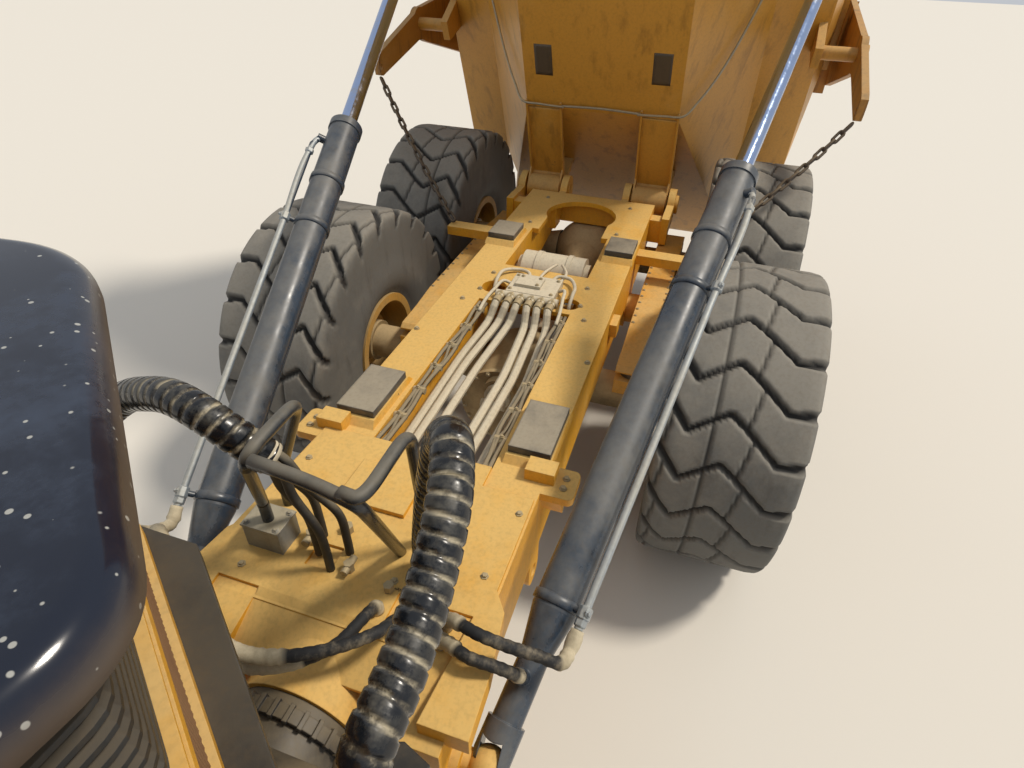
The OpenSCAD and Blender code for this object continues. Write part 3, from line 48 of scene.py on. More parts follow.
# The view: a viewer stands on the tractor's deck, left of the cooling housing, and looks back and down
# over the rear frame to the raised bed. The place and the angles were solved from the four rear tyres,
# the rest pads and pairs of like points, for a frame of 1024 by 768 pixels.
eye = np.array([1.3944, 0.982, 3.435])
heading, down_tilt, lean = 0.3084, 0.6553, 0.0217
focal_pixels, frame_wide = 623.0, 1024

forward = np.array([-math.cos(heading) * math.cos(down_tilt), -math.sin(heading) * math.cos(down_tilt),
                    -math.sin(down_tilt)])
level_right = np.cross(forward, (0, 0, 1))
level_right /= np.linalg.norm(level_right)
level_up = np.cross(level_right, forward)
camera_right = math.cos(lean) * level_right + math.sin(lean) * level_up
camera_up = math.cos(lean) * level_up - math.sin(lean) * level_right

camera_data = bpy.data.cameras.new("deck_view")
camera_data.sensor_width = 36.0
camera_data.lens = focal_pixels / frame_wide * camera_data.sensor_width
camera_data.clip_start = 0.02
camera_data.clip_end = 200.0
camera = bpy.data.objects.new("deck_view", camera_data)
turn = np.eye(4)
turn[:3, 0], turn[:3, 1], turn[:3, 2], turn[:3, 3] = camera_right, camera_up, -forward, eye
camera.matrix_world = Matrix(turn.tolist())
scene.collection.objects.link(camera)
scene.camera = camera
scene.view_settings.view_transform = "Standard"


# The studio: a pale sheet of floor, an even pale sky and one broad soft sun from the truck's right,
# which lies behind the viewer's left shoulder. The floor keeps the truck's shadow.
def linear(hex_colour):
    """Turn an sRGB hex colour into the linear values that a shader takes."""
    parts = [int(hex_colour[i:i + 2], 16) / 255 for i in (1, 3, 5)]
    return tuple(p / 12.92 if p <= 0.04045 else ((p + 0.055) / 1.055) ** 2.4 for p in parts) + (1.0,)


def add_node(tree, kind, inputs=(), **settings):
    """Add one node. settings are the node's own properties, inputs give each socket its value or the socket
    that feeds it."""
    made = tree.nodes.new(kind)
    for name, value in settings.items():
        setattr(made, name, value)
    for socket, value in dict(inputs).items():
        if isinstance(value, bpy.types.NodeSocket):
            tree.links.new(value, made.inputs[socket])
        else:
            made.inputs[socket].default_value = value
    return made


floor_half = 40.0
floor_mesh = bpy.data.meshes.new("studio_floor")
floor_mesh.from_pydata([(-floor_half, -floor_half, 0), (floor_half, -floor_half, 0),
                        (floor_half, floor_half, 0), (-floor_half, floor_half, 0)], [], [(0, 1, 2, 3)])
floor = bpy.data.objects.new("studio_floor", floor_mesh)
scene.collection.objects.link(floor)
floor_paint = bpy.data.materials.new("matt_studio_paint")
floor_paint.use_nodes = True
floor_shader = floor_paint.node_tree.nodes["Principled BSDF"]
floor_shader.inputs["Base Color"].default_value = linear("#DAD5CB")
floor_shader.inputs["Roughness"].default_value = 0.95
floor_mesh.materials.append(floor_paint)

sky = bpy.data.worlds.new("pale_sky")
sky.use_nodes = True
sky.node_tree.nodes["Background"].inputs["Color"].default_value = linear("#EEF2F8")
sky.node_tree.nodes["Background"].inputs["Strength"].default_value = 0.62
scene.world = sky

sun_data = bpy.data.lights.new("broad_sun", "SUN")
sun_data.energy = 2.6
sun_data.angle = math.radians(9)
sun_data.color = linear("#FFF6E8")[:3]
sun = bpy.data.objects.new("broad_sun", sun_data)
sun.rotation_euler = (math.radians(34), 0, math.radians(200))
scene.collection.objects.link(sun)


# Rear frame: thick plate, cut and welded into rails with a tail plate and a front cover, shot-blasted and
# sprayed with golden enamel. Sand has dried on every face that looks up and dulls it to a pale tan, and
# the plate edges, where boots and tools rub, still show the clean golden paint.
dry_sand = "#D6BC85"
enamel_gold = "#E0A127"


def join(tree, a, b, operation="MULTIPLY"):
    """Put two numbers through one sum."""
    return add_node(tree, "ShaderNodeMath", {0: a, 1: b}, operation=operation).outputs[0]


def ramp(tree, value, low, high):
    """Turn a value from low to high into a smooth step from 0 to 1."""
    return add_node(tree, "ShaderNodeMapRange", {"Value": value, "From Min": low, "From Max": high},
                    interpolation_type="SMOOTHSTEP").outputs["Result"]


def patches(tree, place, size_mm, detail=4.0, rough=0.6):
    """Cloudy patches whose wide middle is about size_mm across, from 0 to 1."""
    return add_node(tree, "ShaderNodeTexNoise", {"Vector": place, "Scale": 1000.0 / size_mm / 2,
                                                 "Detail": detail, "Roughness": rough}).outputs["Fac"]


def blend_colours(tree, share, a, b):
    """Mix two colours by a share from 0 to 1."""
    made = add_node(tree, "ShaderNodeMix", {0: share}, data_type="RGBA")
    for socket, value in ((6, a), (7, b)):
        if isinstance(value, str):
            made.inputs[socket].default_value = linear(value)
        else:
            tree.links.new(value, made.inputs[socket])
    return made.outputs[2]


def tint(tree, shader, share, a, b):
    """Give a shader the mix of two colours by a share from 0 to 1."""
    tree.links.new(blend_colours(tree, share, a, b), shader.inputs["Base Color"])


def new_finish(name):
    """A new material, with its node tree, its shader and its coordinates."""
    made = bpy.data.materials.new(name)
    made.use_nodes = True
    tree = made.node_tree
    return made, tree, tree.nodes["Principled BSDF"], add_node(tree, "ShaderNodeTexCoord")


def roughen(tree, shader, value, low, high, start=0.0, end=1.0):
    """Run a shader's roughness from low to high while a value goes from start to end."""
    run = add_node(tree, "ShaderNodeMapRange", {"Value": value, "From Min": start, "From Max": end,
                                                "To Min": low, "To Max": high})
    tree.links.new(run.outputs["Result"], shader.inputs["Roughness"])


def weathered(name, colour, sand=dry_sand, sanded=0.6, streak="#8A6A34", streaks=0.35, gloss=0.42, metal=0.0,
              edge=None, edge_mm=6.0, chips=0.0, chip_colour="#4A3B2A", lift_mm=0.35):
    """One surface out of doors. Dry sand lies where it looks up and in cloudy patches, water has left darker
    streaks, the edges are worn and rounded, chips show what lies below, and grit makes it uneven."""
    made, tree, shader, at = new_finish(name)
    place = at.outputs["Object"]
    up = add_node(tree, "ShaderNodeSeparateXYZ", {0: at.outputs["Normal"]}).outputs["Z"]
    wide = patches(tree, place, 420)
    middle = patches(tree, place, 70, 6.0, 0.7)
    fine = patches(tree, place, 9, 3.0)
    tilt = ramp(tree, up, -0.35, 0.95)
    cloud = join(tree, join(tree, wide, 0.55), join(tree, middle, 0.45), "ADD")
    less = 0.3 * sanded
    settled = ramp(tree, join(tree, cloud, join(tree, tilt, 0.34), "ADD"), 0.62 - less, 1.0 - less)
    settled = join(tree, settled, 0.55 + 0.4 * sanded)
    squeeze = add_node(tree, "ShaderNodeMapping", {"Vector": place, "Scale": (7.0, 7.0, 1.3)}).outputs[0]
    ran = ramp(tree, add_node(tree, "ShaderNodeTexNoise", {"Vector": squeeze, "Scale": 1.6, "Detail": 5.0,
                                                           "Roughness": 0.62}).outputs["Fac"], 0.5, 0.72)
    paint = blend_colours(tree, join(tree, ran, streaks), colour, streak)
    soft = add_node(tree, "ShaderNodeBevel", {"Radius": edge_mm / 1000}, samples=4)
    flat = add_node(tree, "ShaderNodeNewGeometry").outputs["Normal"]
    turned = add_node(tree, "ShaderNodeVectorMath", {0: soft.outputs[0], 1: flat}, operation="DOT_PRODUCT")
    worn = ramp(tree, join(tree, 1.0, turned.outputs["Value"], "SUBTRACT"), 0.02, 0.16)
    worn = join(tree, worn, ramp(tree, middle, 0.42, 0.6))
    if edge:
        paint = blend_colours(tree, join(tree, worn, 0.8), paint, edge)
    kept_sand = join(tree, 1.0, join(tree, worn, 0.6), "SUBTRACT")
    dusty = blend_colours(tree, join(tree, settled, kept_sand), paint, sand)
    if chips:
        ground = join(tree, middle, join(tree, fine, 0.25), "ADD")
        bare = ramp(tree, ground, 0.86 - chips * 0.1, 0.9 - chips * 0.1)
        dusty = blend_colours(tree, bare, dusty, chip_colour)
    tint(tree, shader, join(tree, ramp(tree, fine, 0.4, 0.75), 0.16), dusty, "#5E4C2F")
    roughen(tree, shader, settled, gloss, 0.92)
    shader.inputs["Metallic"].default_value = metal
    bumps = add_node(tree, "ShaderNodeBump", {"Height": join(tree, fine, join(tree, middle, 2.0), "ADD"),
                                              "Strength": 0.6, "Distance": lift_mm / 1000,
                                              "Normal": soft.outputs[0]})
    tree.links.new(bumps.outputs[0], shader.inputs["Normal"])
    return made


def coat(material, *names):
    """Put one finish on CAD nodes."""
    for name in names:
        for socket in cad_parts[name].material_slots:
            socket.material = material


frame_enamel = weathered("sanded_frame_enamel", enamel_gold, sand="#DABB78", sanded=0.42, streak="#A97B2B",
                         edge="#E6A930", chips=0.15)
coat(frame_enamel, "rear_frame")
# The beams hang lower and outside, where less sand lies, so the enamel is brighter.
beam_enamel = weathered("beam_enamel", "#DFA02A", sanded=0.2, edge="#E9B24C", chips=0.1)
coat(beam_enamel, "walking_beams")

# Rest pads: pressed rubber blocks with a steel cap, rubbed to a dull sheen by the bed, sand in the rims.
pad_rubber = weathered("rubbed_pad_rubber", "#3C4045", sand="#B9AC93", sanded=0.3, streak="#2A2C2F",
                       gloss=0.34, edge="#8E8A80", edge_mm=14)
coat(pad_rubber, "body_pads")

# Axles, shafts, tank and valve bank: castings and turned tube under a coat of dried mud and sand.
mud_cast = weathered("muddy_casting", "#7A6746", sand="#C6AE83", sanded=0.66, streak="#4B3F2C", gloss=0.6,
                     edge="#9A8A68", lift_mm=0.9)
coat(mud_cast, "bogie_axles", "front_axle")
pale_tube = weathered("sanded_shaft_tube", "#B8AE98", sand="#D8CCB2", sanded=0.6, streak="#8B7D60",
                      gloss=0.45, edge="#E4DCC8")
coat(pale_tube, "propshafts", "air_tank", "valve_block")

# Hose guard's enamel: black, chalky from the sun, with sand on its upper side.
tube_black = weathered("chalky_black_tube", "#222A33", sand="#8F8877", sanded=0.1, streak="#15181C",
                       gloss=0.25, edge="#5A5F66", chips=0.1, chip_colour="#6B5236")
coat(tube_black, "hose_guard")


# Tyres: moulded rubber, 925 mm in radius. Grooves cross the tread in one long wave per pitch, and three
# narrow ones cut each wave's lug in four. The lug tops are scuffed pale grey, the grooves stay dark.
cad_shift = np.array([2.8766, 0.0, 0.0])
pitches = 22
tyre_radius, axle_height, track = 0.925, 0.925, 1.335
bogie_reach, front_reach = 0.983, 5.573
tread_half = 0.37
groove_deep, groove_half, groove_flare, groove_lean = 0.032, 0.017, 0.008, 0.008
slit_deep, slit_half, slit_lean = 0.016, 0.0095, 0.006
tread_from, tread_ease, shoulder_pinch = 0.80, 0.06, 0.03
# The mesh's steps along a side wall, across the tread and round the tyre for each pitch.
wall_steps, tread_steps, pitch_steps = 12, 74, 18


def gather(name, grids, ends="capped"):
    """One mesh from grids of points, each a stack of closed rings. The first and last ring are capped by flat
    faces, or joined to each other where ends is ring. A sheet is open on all four sides."""
    verts, faces, start = [], [], 0
    for grid in grids:
        rows, cols = grid.shape[:2]
        i, j = np.meshgrid(np.arange(rows if ends == "ring" else rows - 1),
                           np.arange(cols - 1 if ends == "sheet" else cols), indexing="ij")
        i2, j2 = (i + 1) % rows, (j + 1) % cols
        faces += (np.stack([i * cols + j, i * cols + j2, i2 * cols + j2, i2 * cols + j], axis=-1)
                  .reshape(-1, 4) + start).tolist()
        if ends == "capped":
            faces.append([start + k for k in range(cols)][::-1])
            faces.append([start + (rows - 1) * cols + k for k in range(cols)])
        verts.append(grid.reshape(-1, 3))
        start += rows * cols
    mesh = bpy.data.meshes.new(name)
    mesh.from_pydata(np.concatenate(verts).tolist(), [], faces)
    mesh.update()
    return mesh


def piece(name, grids, material, body=None, smooth=True, ends="capped"):
    """Put one piece in the scene with its finish and its material slot, riding on a body if one is named."""
    mesh = gather(name, grids, ends)
    mesh.materials.append(material)
    if smooth:
        mesh.polygons.foreach_set("use_smooth", np.ones(len(mesh.polygons), dtype=bool))
    made = bpy.data.objects.new(name, mesh)
    scene.collection.objects.link(made)
    if body:
        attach(made, body)
    return made


def mark(made, name, values):
    """Keep one number per vertex for the finish to read."""
    kept = made.data.attributes.new(name, "FLOAT", "POINT")
    kept.data.foreach_set("value", np.asarray(values, dtype=np.float32).ravel())


def lengths(points):
    """The length along a route up to each of its points."""
    return np.concatenate([[0], np.cumsum(np.linalg.norm(np.diff(points, axis=0), axis=1))])


def circle(count):
    """The angles of points set evenly round a circle."""
    return np.arange(count) * 2 * np.pi / count


# The tyre's section from the inner bead over the tread to the outer bead: radius, then distance across.
section = np.array([
    [0.3185, -0.31], [0.357, -0.315], [0.398, -0.347], [0.468, -0.374], [0.56, -0.3745], [0.618, -0.367],
    [0.70, -0.3665], [0.76, -0.368], [0.805, -0.369], [0.85, -0.3685], [0.885, -0.3635], [0.908, -0.352],
    [0.918, -0.335], [0.925, -0.29], [0.925, 0.0]])
section = np.concatenate([section, (section * [1, -1])[-2::-1]])
run = lengths(section)
inner, outer = run[8], run[-9]  # the lengths at which the tread begins and ends
stops = np.concatenate([np.linspace(0, inner, wall_steps)[:-1], np.linspace(inner, outer, tread_steps),
                        np.linspace(outer, run[-1], wall_steps)[1:]])
ring_r, ring_y = np.interp(stops, run, section[:, 0]), np.interp(stops, run, section[:, 1])
angle = circle(pitches * pitch_steps)
# Across the tread, from the inner to the outer shoulder, where the wave stands, in pitches.
across = (stops - run[-1] / 2) / tread_half
wave_at = np.array([-1.2, -1.0, -0.60, -0.10, 0.12, 0.60, 1.0, 1.2])
wave_up = np.array([-0.10, 0.0, 0.70, 0.23, 0.45, 1.04, 0.97, 0.97])
wave = np.interp(across, wave_at, wave_up)
pitch = 2 * np.pi * tyre_radius / pitches
steep = np.gradient(wave, across) * pitch / tread_half
phase = (angle[None, :] / (2 * np.pi) * pitches - wave[:, None]) % 1.0
gap = np.minimum(phase, 1 - phase) * pitch / np.sqrt(1 + steep[:, None] ** 2)
# A groove is 34 mm wide in the middle of the tread and flares to 50 mm over its outer half.
half_gap = groove_half + groove_flare * np.clip(np.abs(across[:, None]) * 2 - 1, 0, 1)
on_tread = np.clip((ring_r - tread_from) / tread_ease, 0, 1)[:, None]
groove = np.clip((half_gap - gap) / groove_lean, 0, 1) * on_tread
# Each narrow groove stands at its own place across the tread, and slants a little over one lug.
slit = np.zeros_like(groove)
for where, slant in ((-0.86, -0.10), (-0.28, 0.0), (0.20, -0.12)):
    aside = np.abs(across[:, None] - where - slant * (phase - 0.5)) * tread_half
    slit = np.maximum(slit, np.clip((slit_half - aside) / slit_lean, 0, 1) * on_tread)
sink = np.maximum(groove * groove_deep, slit * slit_deep)
radius = ring_r[:, None] - sink
lateral = ring_y[:, None] * (1 - shoulder_pinch * groove * (np.abs(across[:, None]) > 1.0))

rubber = weathered("scuffed_tyre_rubber", "#62625F", sand="#969084", sanded=0.36, streak="#45423E",
                   streaks=0.5, gloss=0.7, edge="#85817A", edge_mm=4, lift_mm=0.8)
tree = rubber.node_tree
shader = tree.nodes["Principled BSDF"]
deep = add_node(tree, "ShaderNodeAttribute", attribute_name="groove").outputs["Fac"]
tint(tree, shader, deep, shader.inputs["Base Color"].links[0].from_socket, "#2B2927")

rim_enamel = weathered("dusty_rim_enamel", "#C08F38", sand="#A88F63", sanded=0.7, streak="#6B5633", gloss=0.5,
                       edge="#D2A552")
for axle, reach in (("rear", -bogie_reach), ("centre", bogie_reach), ("front", front_reach)):
    for side, word in ((1, "left"), (-1, "right")):
        grid = np.stack([side * radius * np.sin(angle), side * lateral, radius * np.cos(angle)], axis=-1)
        grid += np.array([reach, side * track, axle_height]) - cad_shift
        body = f"wheel_{axle}_{word}"
        tyre = piece(f"tyre_{axle}_{word}_tread", [grid], rubber, body, ends="ring")
        mark(tyre, "groove", np.maximum(groove, slit * 0.8))
        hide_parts(f"tyre_{axle}_{word}")
        coat(rim_enamel, f"rim_{axle}_{word}")


# Bed and tailgate: wear plate folded and welded, painted outside. The raised underside shows old golden
# enamel gone brown with dust and water marks. The levers and arms are rubbed to rusty brown.
bed_enamel = weathered("browned_bed_enamel", "#C58E35", sand="#C6A56C", sanded=0.34, streak="#8F6425",
                       streaks=0.6, gloss=0.4, edge="#D9A348", chips=0.25)
coat(bed_enamel, "bed_shell", "bed_brackets")
gate_enamel = weathered("rusty_gate_enamel", "#A9762C", sand="#BFA172", sanded=0.3, streak="#5F3F20",
                        streaks=0.9, gloss=0.5, edge="#7A5230", chips=0.7, chip_colour="#5A3A24")
coat(gate_enamel, "tailgate")

tip_turn, hinge_at = math.radians(67), np.array([-1.2, 0.0, 1.38]) - cad_shift


def raised(along, out, up):
    """A point of the level bed, in metres from its hinge, turned up with the bed."""
    along, out, up = np.broadcast_arrays(*(np.asarray(v, dtype=float) for v in (along, out, up)))
    return np.stack([along * math.cos(tip_turn) - up * math.sin(tip_turn), out,
                     along * math.sin(tip_turn) + up * math.cos(tip_turn)], axis=-1) + hinge_at


def smooth_route(points, step):
    """Points every step metres on the smooth curve through the given ones: cubic pieces whose slope at each
    point is that between its two neighbours, over the length between them."""
    points = np.asarray(points, dtype=float)
    span = lengths(points)
    slope = np.gradient(points, span, axis=0)
    at = np.linspace(0, span[-1], max(int(span[-1] / step), 4))
    k = np.clip(np.searchsorted(span, at, side="right") - 1, 0, len(span) - 2)
    length = (span[k + 1] - span[k])[:, None]
    t = (at - span[k])[:, None] / length
    return ((2 * t ** 3 - 3 * t ** 2 + 1) * points[k] + (t ** 3 - 2 * t ** 2 + t) * length * slope[k]
            + (3 * t ** 2 - 2 * t ** 3) * points[k + 1] + (t ** 3 - t ** 2) * length * slope[k + 1])


def unit(vectors):
    """Each vector of an array, brought to a length of one."""
    return vectors / np.linalg.norm(vectors, axis=-1, keepdims=True)


def tube(route, radius, sides=16, hint=(0.31, 0.27, 0.91)):
    """A grid of points round a route: each ring stands square to the route, and its first point leans
    towards the hint. radius is one number or one per ring and side."""
    route = np.asarray(route, dtype=float)
    way = unit(np.gradient(route, axis=0))
    first = unit(np.asarray(hint) - way * (way @ np.asarray(hint))[:, None])
    second = np.cross(way, first)
    turn = circle(sides)
    radius = np.asarray(radius, dtype=float)
    radius = np.broadcast_to(radius[:, None] if radius.ndim == 1 else radius, (len(route), sides))
    return (route[:, None, :] + radius[..., None] * (np.cos(turn)[None, :, None] * first[:, None, :]
                                                     + np.sin(turn)[None, :, None] * second[:, None, :]))


# Bolts: hexagon heads on washers, one shape set down many times, each along the face it holds.
def bolts(places, way, size=0.012, height=0.010):
    """Grids of hexagon heads with their washers: stacked rings of six points, at each place along way."""
    way = unit(np.asarray(way, dtype=float))
    level = np.array([size * 1.5, size * 1.5, size, size, size * 0.8])
    rise = np.array([-0.003, 0.004, 0.004, height, height + 0.002])
    return [tube(np.asarray(at, dtype=float) + way * rise[:, None], level, 6) for at in places]


def straight(a, b, radius, sides=12):
    """A straight round bar with square ends."""
    return tube(np.linspace(a, b, 2), radius, sides)


# Wear patches: two rough plates on the bed's underside, where it lands on the front pads. They stand
# proud by 1.5 mm at most, and their edges are ground down.
patch_steel = weathered("rubbed_patch_steel", "#4E4234", sand="#8D7A58", sanded=0.25, streak="#2F271E",
                        gloss=0.45)
patch_near, patch_far, patch_in, patch_out = 1.035, 1.285, 0.385, 0.525
bed_underside, patch_proud, ground_slope = 0.12, 0.0015, 0.3
for side, word in ((1, "left"), (-1, "right")):
    along, out = np.meshgrid(np.linspace(patch_near, patch_far, 12), np.linspace(patch_in, patch_out, 8),
                             indexing="ij")
    edge = np.minimum.reduce([along - patch_near, patch_far - along, out - patch_in, patch_out - out])
    top = raised(along, side * out, bed_underside - np.clip(edge * ground_slope, 0, patch_proud))
    patch = piece(f"wear_patch_{word}", [top[:, ::side]], patch_steel, "bed", ends="sheet")
    thick = patch.modifiers.new("plate", "SOLIDIFY")
    thick.thickness, thick.offset = 2 * patch_proud, -1

# Lubrication pipe: drawn steel pipe, clipped over the bracket tops and up the bed's chamfers.
pipe_steel = weathered("dull_pipe_steel", "#9A9484", sand="#C9B792", sanded=0.4, streak="#5D5545", gloss=0.38,
                       metal=0.6)
lines, pipe_radius = [], 0.009
for side in (1, -1):
    climb = raised([0.79, 0.80, 0.80, 0.86, 1.30, 1.80, 1.95],
                   side * np.array([0.30, 0.50, 0.66, 0.74, 1.00, 1.135, 1.15]),
                   np.array([0.098, 0.098, 0.125, 0.225, 0.60, 0.795, 0.82]) - 0.012)
    lines.append(tube(smooth_route(climb, 0.02), pipe_radius, 8))
link = raised([0.79, 0.80, 0.79], [-0.32, 0.0, 0.32], [0.098, 0.100, 0.098])
lines.append(tube(smooth_route(link, 0.03), pipe_radius, 8))
piece("bed_grease_pipe", lines, pipe_steel, "bed")

# Tailgate chains: welded links of round bar, rusty and dusty, shackled to the levers and to the frame.
chain_steel = weathered("rusty_chain_steel", "#453B34", sand="#8E7D63", sanded=0.2, streak="#33241C",
                        gloss=0.5, metal=0.3, edge="#8E8478", edge_mm=2)


def points_at(route, along):
    """The points of a route at the given lengths along it."""
    span = lengths(route)
    return np.stack([np.interp(along, span, values) for values in route.T], axis=1)


def link_chain(a, b, sag, pitch, bar):
    """Links of a chain between two points: each link is a round bar bent round a long oval, every second
    one turned a quarter, along a curve that sags by a parabola."""
    t = np.linspace(0, 1, 200)
    path = a + (b - a) * t[:, None] - np.array([0, 0, 1.0]) * (4 * sag * t * (1 - t))[:, None]
    total = lengths(path)[-1]
    count = int(round(total / pitch))
    where = (np.arange(count) + 0.5) / count * total
    middle = points_at(path, where)
    ahead = unit(points_at(path, where + 0.01) - points_at(path, where - 0.01))
    aside = unit(np.cross(ahead, (0.0, 1.0, 0.2)))
    other = np.cross(ahead, aside)
    turn, spin = circle(16), circle(6)
    wide = bar * 1.6
    long = pitch / 2 + bar * 0.8 - wide
    grids = []
    for k in range(count):
        flat = aside[k] if k % 2 else other[k]
        along = np.sign(np.cos(turn)) * long + np.cos(turn) * wide
        ring = middle[k] + ahead[k] * along[:, None] + flat * (np.sin(turn) * wide)[:, None]
        way = unit(np.roll(ring, -1, axis=0) - np.roll(ring, 1, axis=0))
        upright = np.cross(ahead[k], flat)
        second = np.cross(way, upright)
        grids.append(ring[:, None, :] + bar * (np.cos(spin)[None, :, None] * upright
                                               + np.sin(spin)[None, :, None] * second[:, None, :]))
    return grids


chain_sag, link_pitch, link_bar = 0.05, 0.075, 0.0105
for side, word in ((1, "left"), (-1, "right")):
    lever = raised(1.07, 0.0, -0.013) + [0.04, side * 1.80, -0.08]
    anchor = np.array([-0.1, side * 0.93, 1.428]) - cad_shift
    grids = link_chain(anchor, lever, chain_sag, link_pitch, link_bar)
    chain = piece(f"gate_chain_{word}", grids, chain_steel, ends="ring")
    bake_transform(chain)
    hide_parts("gate_chains")


# Hoist barrels: honed tube, welded and painted dark blue-grey, glossy where it is clean, with sand and
# rain streaks along the top. The rods are ground and hard-chromed, and show the sky's blue.
barrel_enamel = weathered("streaked_barrel_enamel", "#2C3A4A", sand="#8E8A80", sanded=0.0, streak="#18202A",
                          streaks=0.6, gloss=0.2, edge="#7C858E", lift_mm=0.15)
coat(barrel_enamel, "hoist_barrel_left", "hoist_barrel_right")
chrome, tree, shader, at = new_finish("hard_chrome")
shader.inputs["Metallic"].default_value = 1.0
film = patches(tree, at.outputs["Object"], 30, 6.0, 0.7)
tint(tree, shader, ramp(tree, film, 0.5, 0.8), "#A9BCE0", "#B9B4A6")
roughen(tree, shader, film, 0.07, 0.3, 0.35, 0.8)
coat(chrome, "hoist_rod_left", "hoist_rod_right", "steer_rod_left", "steer_rod_right")
coat(barrel_enamel, "steer_barrel_left", "steer_barrel_right")

# Feed pipes: bright drawn pipe with hex fittings and clamp plates, sandy on top.
bright_pipe = weathered("bright_pipe", "#98A2AA", sand="#BDB6A4", sanded=0.2, streak="#6C7274", gloss=0.28,
                        metal=0.4)
foot_at, top_at = np.array([3.45, 0.663, 1.13]), raised(2.0, 1.483, 0.85) + cad_shift
hoist_way = unit(top_at - foot_at)
aside_y = np.array([-hoist_way[1], hoist_way[0], 0]) / np.hypot(hoist_way[0], hoist_way[1])
aside_x = np.cross(aside_y, hoist_way)


def on_hoist(x, y, z, side):
    """A point in the hoist's own frame, in metres from its lower pin, z along its length."""
    x, y, z = np.broadcast_arrays(*(np.asarray(v, dtype=float) for v in (x, y, z)))
    at = foot_at + x[..., None] * aside_x + y[..., None] * aside_y + z[..., None] * hoist_way
    return at * [1, side, 1] - cad_shift


# The pipe's place beside the barrel, and how far from the hoist's middle it bends in to the neck.
pipe_x, pipe_y, feed_radius = -0.075, -0.118, 0.0155
bend_out, bend_in = 0.128, 0.11
clamps_at, nuts_at, hoops_at = (0.58, 2.054), (0.53, 0.56, 2.50), (0.581, 2.055, 2.36)
away = unit(np.array([pipe_x, pipe_y]))
for side, word in ((1, "left"), (-1, "right")):
    run_x, run_y = ([beside] * 4 + [part * bend_out, part * bend_in]
                    for beside, part in zip((pipe_x, pipe_y), away))
    pipe_run = on_hoist(run_x, run_y, [0.52, 1.0, 2.0, 2.52, 2.60, 2.63], side)
    grids = [tube(smooth_route(pipe_run, 0.03), feed_radius, 14)]
    for z in clamps_at:
        clamp = on_hoist(pipe_x, pipe_y, np.array([z - 0.024, z - 0.02, z + 0.02, z + 0.024]), side)
        grids.append(tube(clamp, np.array([0.021, 0.026, 0.026, 0.021]), 8))
        grids += bolts([on_hoist(pipe_x - 0.02, pipe_y - 0.012, z, side)],
                       on_hoist(away[0], away[1], 0, side) - on_hoist(0, 0, 0, side), 0.009, 0.012)
    for z in nuts_at:
        nut = on_hoist(pipe_x, pipe_y, np.array([z, z + 0.004, z + 0.026, z + 0.03]), side)
        grids.append(tube(nut, np.array([0.020, 0.023, 0.023, 0.020]), 6))
    piece(f"feed_pipe_{word}", grids, bright_pipe, f"hoist_barrel_{word}", False)
    # Straps on the barrel's bands: thin steel hoops drawn tight by a lug.
    hoops = []
    for z in hoops_at:
        far = np.array([0.083, 0.087, 0.0935, 0.0935, 0.087, 0.083])[:, None]
        rise = z + np.array([-0.02, -0.02, -0.016, 0.016, 0.02, 0.02])[:, None]
        around = circle(48)
        hoops.append(on_hoist(far * np.cos(around), far * np.sin(around) * side, rise, side))
    piece(f"barrel_hoops_{word}", hoops, barrel_enamel, f"hoist_barrel_{word}", ends="ring")

# Hoist hoses: wire-braided rubber hose with crimped steel ends, in woven sleeves where they rub: a pale
# sandy sleeve at each end and a black one between.
sleeve, tree, shader, at = new_finish("sandy_hose_sleeve")
place = at.outputs["Object"]
share = add_node(tree, "ShaderNodeAttribute", attribute_name="sleeve").outputs["Fac"]
cloud = patches(tree, place, 60, 5.0, 0.7)
weave = add_node(tree, "ShaderNodeTexNoise", {"Vector": place, "Scale": 420.0, "Detail": 1.0}).outputs["Fac"]
black = blend_colours(tree, ramp(tree, cloud, 0.45, 0.75), "#1E1F21", "#8D816B")
pale = blend_colours(tree, ramp(tree, cloud, 0.3, 0.7), "#C9BC9F", "#9E9278")
tint(tree, shader, share, black, pale)
shader.inputs["Roughness"].default_value = 0.72
bump = add_node(tree, "ShaderNodeBump", {"Height": weave, "Strength": 0.7, "Distance": 0.0012})
tree.links.new(bump.outputs[0], shader.inputs["Normal"])


def hose(name, route, radius, sleeves):
    """A hose along a route. Its radius swells by 4 mm on the pale sleeves and the crimped ends, and ripples
    by 1.2 mm with the wires below. sleeves gives each pale sleeve's start and end as shares of the length."""
    step, sides = 0.012, 16
    swell, ripple, crimp, crimp_ease, sleeve_ease = 0.004, 0.0012, 0.06, 0.004, 0.006
    path = smooth_route(route, step)
    t = np.linspace(0, 1, len(path))
    run = t * len(path) * step
    pale_part = np.zeros_like(t)
    for low, high in sleeves:
        inside = np.clip((t - low) / sleeve_ease, 0, 1) * np.clip((high - t) / sleeve_ease, 0, 1)
        pale_part = np.maximum(pale_part, inside)
    ends = np.maximum(np.clip((crimp - run) / crimp_ease, 0, 1),
                      np.clip((run - run[-1] + crimp) / crimp_ease, 0, 1))
    waves = np.sin(run * 2 * np.pi / 0.02) * pale_part + np.sin(run * 2 * np.pi / 0.036)
    size = radius + swell * (pale_part + ends) + ripple * waves * (1 - ends)
    made = piece(name, [tube(path, size, sides)], sleeve)
    mark(made, "sleeve", np.repeat(np.maximum(pale_part, ends)[:, None], sides, axis=1))
    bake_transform(made)
    return made


def port(side, near):
    """The lower end of the feed pipe or the port on the neck, and a point just before it."""
    if near == "pipe":
        return [on_hoist(pipe_x, pipe_y, 0.445, side), on_hoist(pipe_x, pipe_y, 0.5197, side)]
    return [on_hoist(-0.146, 0, 0.30, side), on_hoist(-0.1043, 0, 0.30, side)]


